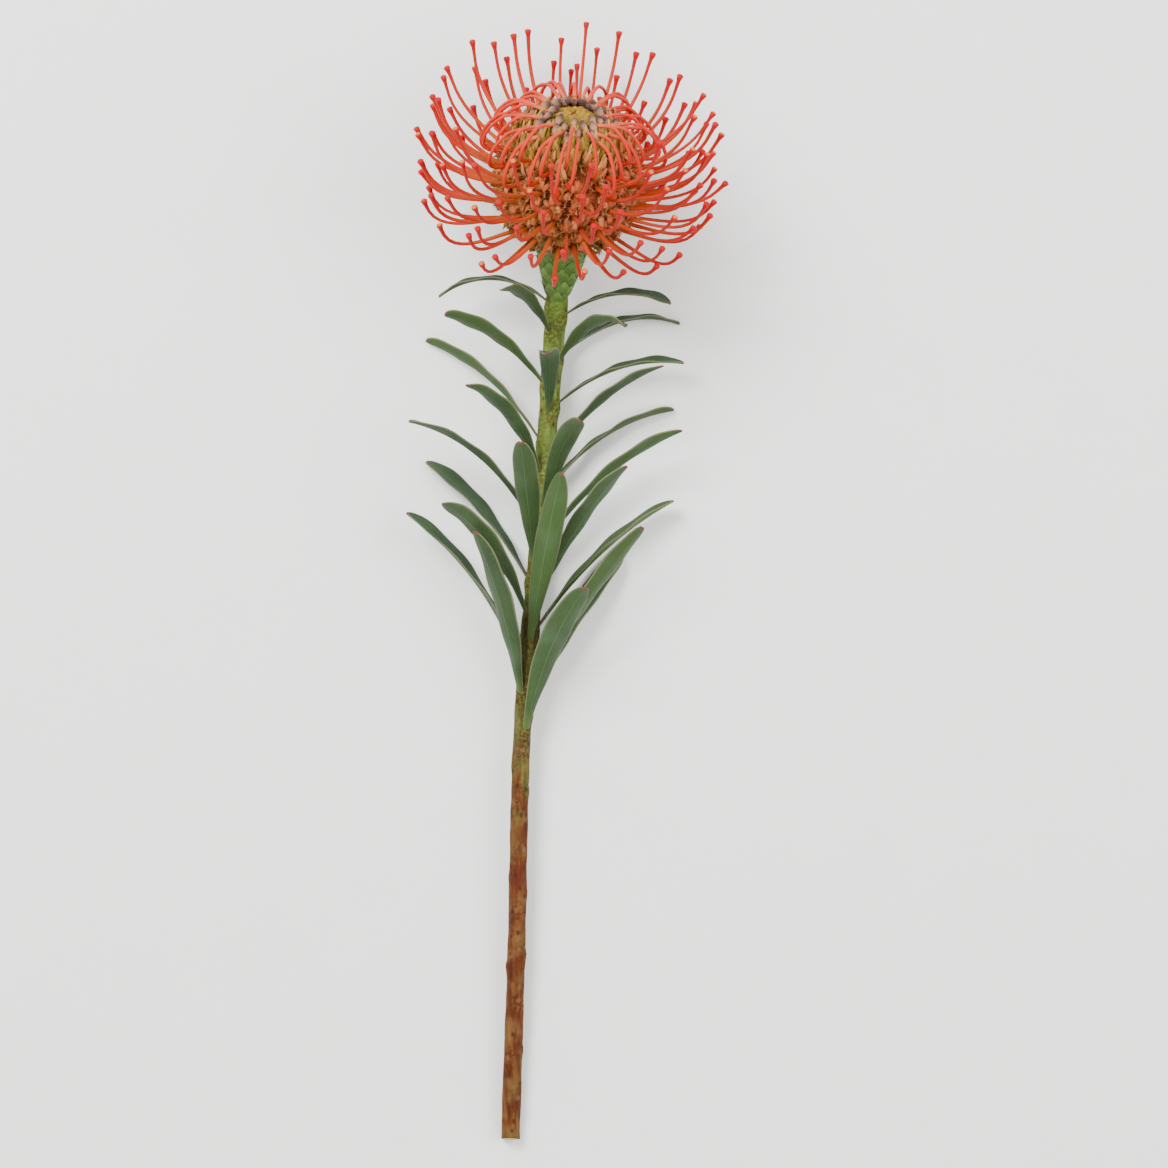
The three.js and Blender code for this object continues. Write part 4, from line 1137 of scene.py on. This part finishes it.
def young_sheath(n):
    """A short one that leans in over the top of the head."""
    knob_theta, knob_phi = knob_at(n)
    q = np.linspace(0, 1, SHEATH_ROWS)
    theta = knob_theta + math.radians(YOUNG_LEAN) * (1 - q) ** 1.2
    stand = np.interp(q, [0, 0.3, 1], [-4.5, -1.3, 0.9 + 0.6 * vary(n, 51)])
    path = dome_point(theta, stand, knob_phi)
    radii = np.array(SHEATH_RADII) * np.interp(q, [0, 0.6, 0.9, 1], [1.05, 1.05, 1.0, 0.4])
    marks = {"draw": vary(n, 50), "young": 1.0, "back": 0.0}
    return bent_tube(sheath_form, path, radii, head_side(knob_phi), **marks)


bowed_sheaths = [bowed_sheath(n) for n in bowed_ones]
young_sheaths = [young_sheath(n) for n in young_ones]
sheaths = bowed_sheaths + young_sheaths
print("sheaths:", len(bowed_sheaths), "bowed and", len(young_sheaths), "young")

# %% Loose strips
STRIPS_EACH = 9
STRIP_SPAN = 0.26
STRIP_LIFTS = (1.2, 3.9)
STRIP_ASIDE = 6
STRIP_HALF_WIDTH = 1.3


def loose_strip(n, k):
    """A strip of a closed floret's sheath that has split off beside the bowed style and curls away."""
    key = STRIPS_EACH * n + k
    phi = floret_at(n)[1]
    q = np.linspace(0, 1, bract_form["ring"].max() + 1)
    span = STRIP_SPAN * (1 + 0.4 * swing(key, 115))
    along = (k + vary(key, 110)) / STRIPS_EACH * (1 - span) + span * q
    aside = np.radians(STRIP_ASIDE * (swing(key, 111) + swing(key, 116) * q))
    lift = lerp(*STRIP_LIFTS, q**1.6) * (1 + 0.2 * swing(key, 112))
    path = sheath_line(n, along, lift, aside)
    heading = unit(path[-1] - path[0])
    outward = unit(np.cross(head_side(phi), heading))
    outward = outward if outward @ head_direction(floret_at(n)[0], phi) > 0 else -outward
    facing = np.broadcast_to(outward, path.shape)
    across = np.broadcast_to(np.cross(heading, outward), path.shape)
    half = STRIP_HALF_WIDTH * (1 + 0.25 * swing(key, 113)) * np.sin(math.pi * lerp(0.28, 0.95, q))
    bulge = -0.5 * bract_form["places"][:, 0] ** 2
    marks = {"draw": vary(key, 114), "back": at_back(phi), "foot": 1 - along[0]}
    return bent_ribbon(bract_form, path, across, facing, half, 0.35, bulge, **marks)


strips = [loose_strip(n, k) for n in bowed_ones for k in range(STRIPS_EACH)]
print("loose strips:", len(strips))

# %% Knobs
KNOB_RADIUS = 1.7
KNOB_LENGTH = 6.0
KNOB_RAISE = 26


def knob_form():
    knob = bmesh.new()
    bmesh.ops.create_uvsphere(knob, u_segments=8, v_segments=6, radius=1.0)
    return kept(knob, "knob_form")


knob_shape = knob_form()


def knob_copy(n):
    """A knob lies over the dome, its end towards the top of the head."""
    knob_theta, knob_phi = knob_at(n)
    foot = dome_point(knob_theta + math.radians(3), KNOB_STAND, knob_phi)
    raise_by = math.radians(KNOB_RAISE + 12 * swing(n, 57))
    axis = head_direction(math.pi - knob_theta - raise_by, knob_phi + math.radians(14 * swing(n, 58)))
    side = unit(np.cross(axis, head_direction(0.0, knob_phi)))
    square = np.cross(axis, side)
    x, y, z = knob_shape["places"].T
    groove = 1 + 0.08 * np.cos(4 * np.arctan2(y, x))
    size = 1 + 0.14 * swing(n, 52)
    out = (x * groove)[:, None] * side + (y * groove)[:, None] * square
    height = KNOB_LENGTH * size * (0.5 * z + 0.4)
    taper = np.interp(z, [-1, 0.1, 1], [0.75, 1.0, 0.85])
    places = foot + (KNOB_RADIUS * size * taper)[:, None] * out + height[:, None] * axis
    return {"places": places, "out": unit(out + z[:, None] * axis), "along": (z + 1) / 2, "draw": vary(n, 53)}


knobs = [knob_copy(n) for n in bowed_ones]
print("knobs:", len(knobs))

# %% Crown finishes
def sheath_finish():
    sheath = Finish("closed_sheath", Specular_IOR_Level=0.14, Sheen_Weight=0.1, Sheen_Roughness=0.5)
    sheath.shader.inputs["Sheen Tint"].default_value = screen(240, 220, 170)
    fine = sheath.noise(0.9, 4)
    along = sheath.mark("along")
    front = sheath.ramp(along, (0.1, screen(132, 60, 26)), (0.35, screen(140, 92, 34)),
                        (0.6, screen(118, 102, 22)), (0.9, screen(164, 122, 68)))
    coral = sheath.ramp(along, (0.1, screen(140, 38, 8)), (0.5, screen(172, 54, 18)), (0.95, screen(186, 106, 66)))
    side = sheath.maths("MULTIPLY_ADD", sheath.mark("draw"), 0.3, sheath.mark("back"))
    bowed = sheath.mix(sheath.between(side, 0.45, 0.9), front, coral)
    young = sheath.ramp(along, (0.3, screen(98, 82, 10)), (0.7, screen(124, 101, 12)), (1.0, screen(148, 116, 28)))
    ochre = sheath.between(sheath.mark("draw"), 0.45, 0.8)
    young = sheath.mix(sheath.maths("MULTIPLY", ochre, 0.6), young, screen(128, 78, 14))
    colour = sheath.mix(sheath.mark("young"), bowed, young)
    clots = sheath.noise(2.6, 3)
    colour = sheath.mix(sheath.maths("MULTIPLY", sheath.between(clots, 0.52, 0.66), 0.4), colour, screen(178, 112, 60))
    colour = sheath.mix(sheath.maths("MULTIPLY", sheath.between(clots, 0.44, 0.32), 0.4), colour, screen(104, 66, 20))
    frost = sheath.maths("MULTIPLY", sheath.between(fine, 0.5, 0.8), 0.15)
    colour = sheath.mix(frost, colour, screen(182, 150, 98))
    sheath.relief(fine, 0.3)
    return sheath.done(colour, sheath.between(fine, -2.0, 1.2))


def strip_finish():
    strip = Finish("loose_strip", Specular_IOR_Level=0.14, Sheen_Weight=0.1, Sheen_Roughness=0.5)
    fine = strip.noise(0.8, 4)
    share = strip.maths("MULTIPLY_ADD", strip.mark("draw"), 0.7, strip.maths("MULTIPLY", fine, 0.35))
    front = strip.ramp(share, (0.15, screen(118, 106, 24)), (0.5, screen(156, 122, 36)), (0.9, screen(192, 142, 74)))
    coral = strip.ramp(share, (0.15, screen(152, 76, 26)), (0.5, screen(194, 94, 46)), (0.9, screen(216, 142, 94)))
    low = strip.maths("MULTIPLY", strip.between(strip.mark("foot"), 0.35, 1.0), 0.85)
    warm = strip.maths("MAXIMUM", strip.between(strip.mark("back"), 0.35, 0.9), low)
    colour = strip.mix(warm, front, coral)
    colour = strip.mix(strip.between(strip.mark("along"), 0.4, 0.0), colour, screen(118, 84, 22))
    strip.relief(fine, 0.4)
    return strip.done(colour, strip.between(fine, -1.6, 1.2))


def knob_finish():
    knob = Finish("knob", Specular_IOR_Level=0.15, Sheen_Weight=0.08, Sheen_Roughness=0.5)
    fine = knob.noise(0.8, 4)
    patchy = knob.maths("MULTIPLY_ADD", knob.mark("draw"), 0.24, knob.maths("MULTIPLY", fine, 0.16))
    where = knob.maths("ADD", knob.mark("along"), knob.maths("SUBTRACT", patchy, 0.2))
    colour = knob.ramp(where, (0.1, screen(186, 92, 60)), (0.32, screen(180, 126, 92)),
                       (0.6, screen(138, 104, 82)), (0.85, screen(74, 50, 48)))
    knob.relief(fine, 0.3)
    return knob.done(colour, knob.between(fine, -1.6, 1.3))


sheath_mesh = gathered("closed_sheaths", sheath_form, sheaths)
put("closed_sheaths", sheath_mesh, [sheath_finish()], "closed_florets", "closed_florets")
put("loose_strips", gathered("loose_strips", bract_form, strips), [strip_finish()] * 3, "closed_florets")
put("knobs", gathered("knobs", knob_shape, knobs), [knob_finish()], "closed_florets")

# %% [markdown]
# ## Down
# Short pale hairs cover the sheaths, the knobs and the rolled petals, and tuft the points of the scales. Hair
# curves would be the usual way, but a model that is handed on keeps only meshes. So each hair is a three-sided
# needle, rooted at a point of the piece that it grows on.

# %% Hairs
HAIR_RADIUS = 0.055
hair_form = needle_form("hair_form")


def down(copies, each, length, purpose, lean=0.6, from_along=0.0, thick=HAIR_RADIUS):
    """Hairs that stand on the points of other copies, more or less along their way out."""
    hairs = []
    for c, copy in enumerate(copies):
        roots = np.nonzero(np.broadcast_to(copy["along"], len(copy["places"])) >= from_along)[0]
        for h in range(each):
            key = c * each + h
            i = roots[int(vary(key, purpose) * len(roots))]
            stray = np.array([swing(key, purpose + step) for step in (1, 2, 3)])
            way = unit(copy["out"][i] + lean * stray)
            side = unit(np.cross(way, stray + (0, 0, 2)))
            square = np.cross(way, side)
            x, y, z = hair_form["places"].T[:, :, None]
            root = copy["places"][i] - 0.1 * way + 0.35 * lean * stray * length * 0.2
            tall = length * (0.6 + 0.8 * vary(key, purpose + 4))
            places = root + thick * (x * side + y * square) + tall * z * way
            places[:, 2] = np.maximum(places[:, 2], 0.0)
            hairs.append({"places": places, "along": z[:, 0]})
    return gathered("down", hair_form, hairs)


def down_finish(name, root, point):
    hair = Finish(name, Specular_IOR_Level=0.3)
    colour = hair.mix(hair.mark("along"), root, point)
    tint = hair.noise(5, 2)
    return hair.done(hair.mix(hair.maths("MULTIPLY", tint, 0.3), colour, root), hair.between(tint, -1.5, 1.5))


pale = down_finish("down_pale", screen(128, 102, 30), screen(186, 152, 74))
tan = down_finish("down_tan", screen(160, 84, 44), screen(224, 170, 126))
cream = down_finish("down_cream", screen(146, 108, 84), screen(210, 178, 150))
grey = down_finish("down_grey", screen(78, 100, 44), screen(132, 152, 98))
brown = down_finish("wool_brown", screen(122, 55, 22), screen(200, 120, 66))
put("crown_down", down(bowed_sheaths, 170, 1.9, 60, from_along=0.1, thick=0.09), [pale], "closed_florets")
put("knob_down", down(knobs, 60, 0.8, 70), [cream], "closed_florets")
put("petal_down", down(petals, 30, 1.7, 80, lean=0.8, thick=0.1), [tan], "open_florets")
put("bract_down", down(bracts, 10, 1.9, 85, lean=0.9, from_along=0.5, thick=0.08), [tan], "open_florets")
put("bed_wool", down([bed], 6500, 3.4, 95, lean=0.8, thick=0.13), [brown], "open_florets")
put("scale_down", down(scales, 60, 1.1, 90, lean=0.9, from_along=0.5), [grey], "bracts")
put("rim_down", down(rim_bracts, 24, 1.4, 99, lean=0.9, from_along=0.5), [tan], "bracts")

# %% [markdown]
# ## Floor, light and camera
# The flower lies on a plain pale floor under soft studio light. It is seen from straight above, so that the
# head, which is bent up by a third of a right angle, faces the camera as it would if the stem stood upright.
# A long lens far away keeps the near head from looking larger than the far cut end.

# %% Floor
floor_tools = bmesh.new()
bmesh.ops.create_grid(floor_tools, x_segments=1, y_segments=1, size=3.0)
floor_mesh = bpy.data.meshes.new("floor")
floor_tools.to_mesh(floor_mesh)
floor_tools.free()
floor = bpy.data.objects.new("floor", floor_mesh)
bpy.context.scene.collection.objects.link(floor)
floor_paint = Finish("floor", Specular_IOR_Level=0.2)
floor_grain = floor_paint.noise(30, 2)
floor_tone = floor_paint.mix(floor_grain, screen(243, 243, 241), screen(247, 247, 245))
floor_mesh.materials.append(floor_paint.done(floor_tone, floor_paint.between(floor_grain, -3.0, 1.5)))

# %% Light
def soft_light(name, place, size, watts, aim):
    lamp = bpy.data.lights.new(name, "AREA")
    lamp.shape = "DISK"
    lamp.size = size
    lamp.energy = watts
    holder = bpy.data.objects.new(name, lamp)
    holder.location = place
    towards = Vector(aim) - Vector(place)
    holder.rotation_euler = towards.to_track_quat("-Z", "Y").to_euler()
    bpy.context.scene.collection.objects.link(holder)
    return holder


soft_light("key_light", (-0.9, 1.0, 1.7), 1.0, 70, (0, 0.1, 0.03))
soft_light("fill_light", (1.3, 0.1, 1.5), 1.4, 28, (0, 0.0, 0.03))
world = bpy.data.worlds.new("studio")
bpy.context.scene.world = world
world.use_nodes = True
world.node_tree.nodes["Background"].inputs["Color"].default_value = (1.0, 1.0, 1.0, 1.0)
world.node_tree.nodes["Background"].inputs["Strength"].default_value = 1.12

# %% Camera
CAMERA_HEIGHT = 2.3
VIEW_SPAN = 0.532
camera_lens = bpy.data.cameras.new("camera")
camera_lens.sensor_width = 36.0
camera_lens.lens = 36.0 * CAMERA_HEIGHT / VIEW_SPAN
camera = bpy.data.objects.new("camera", camera_lens)
camera.location = (0.008, 0.0, CAMERA_HEIGHT)
bpy.context.scene.collection.objects.link(camera)
bpy.context.scene.camera = camera
print("the camera sees", VIEW_SPAN, "m of the floor")
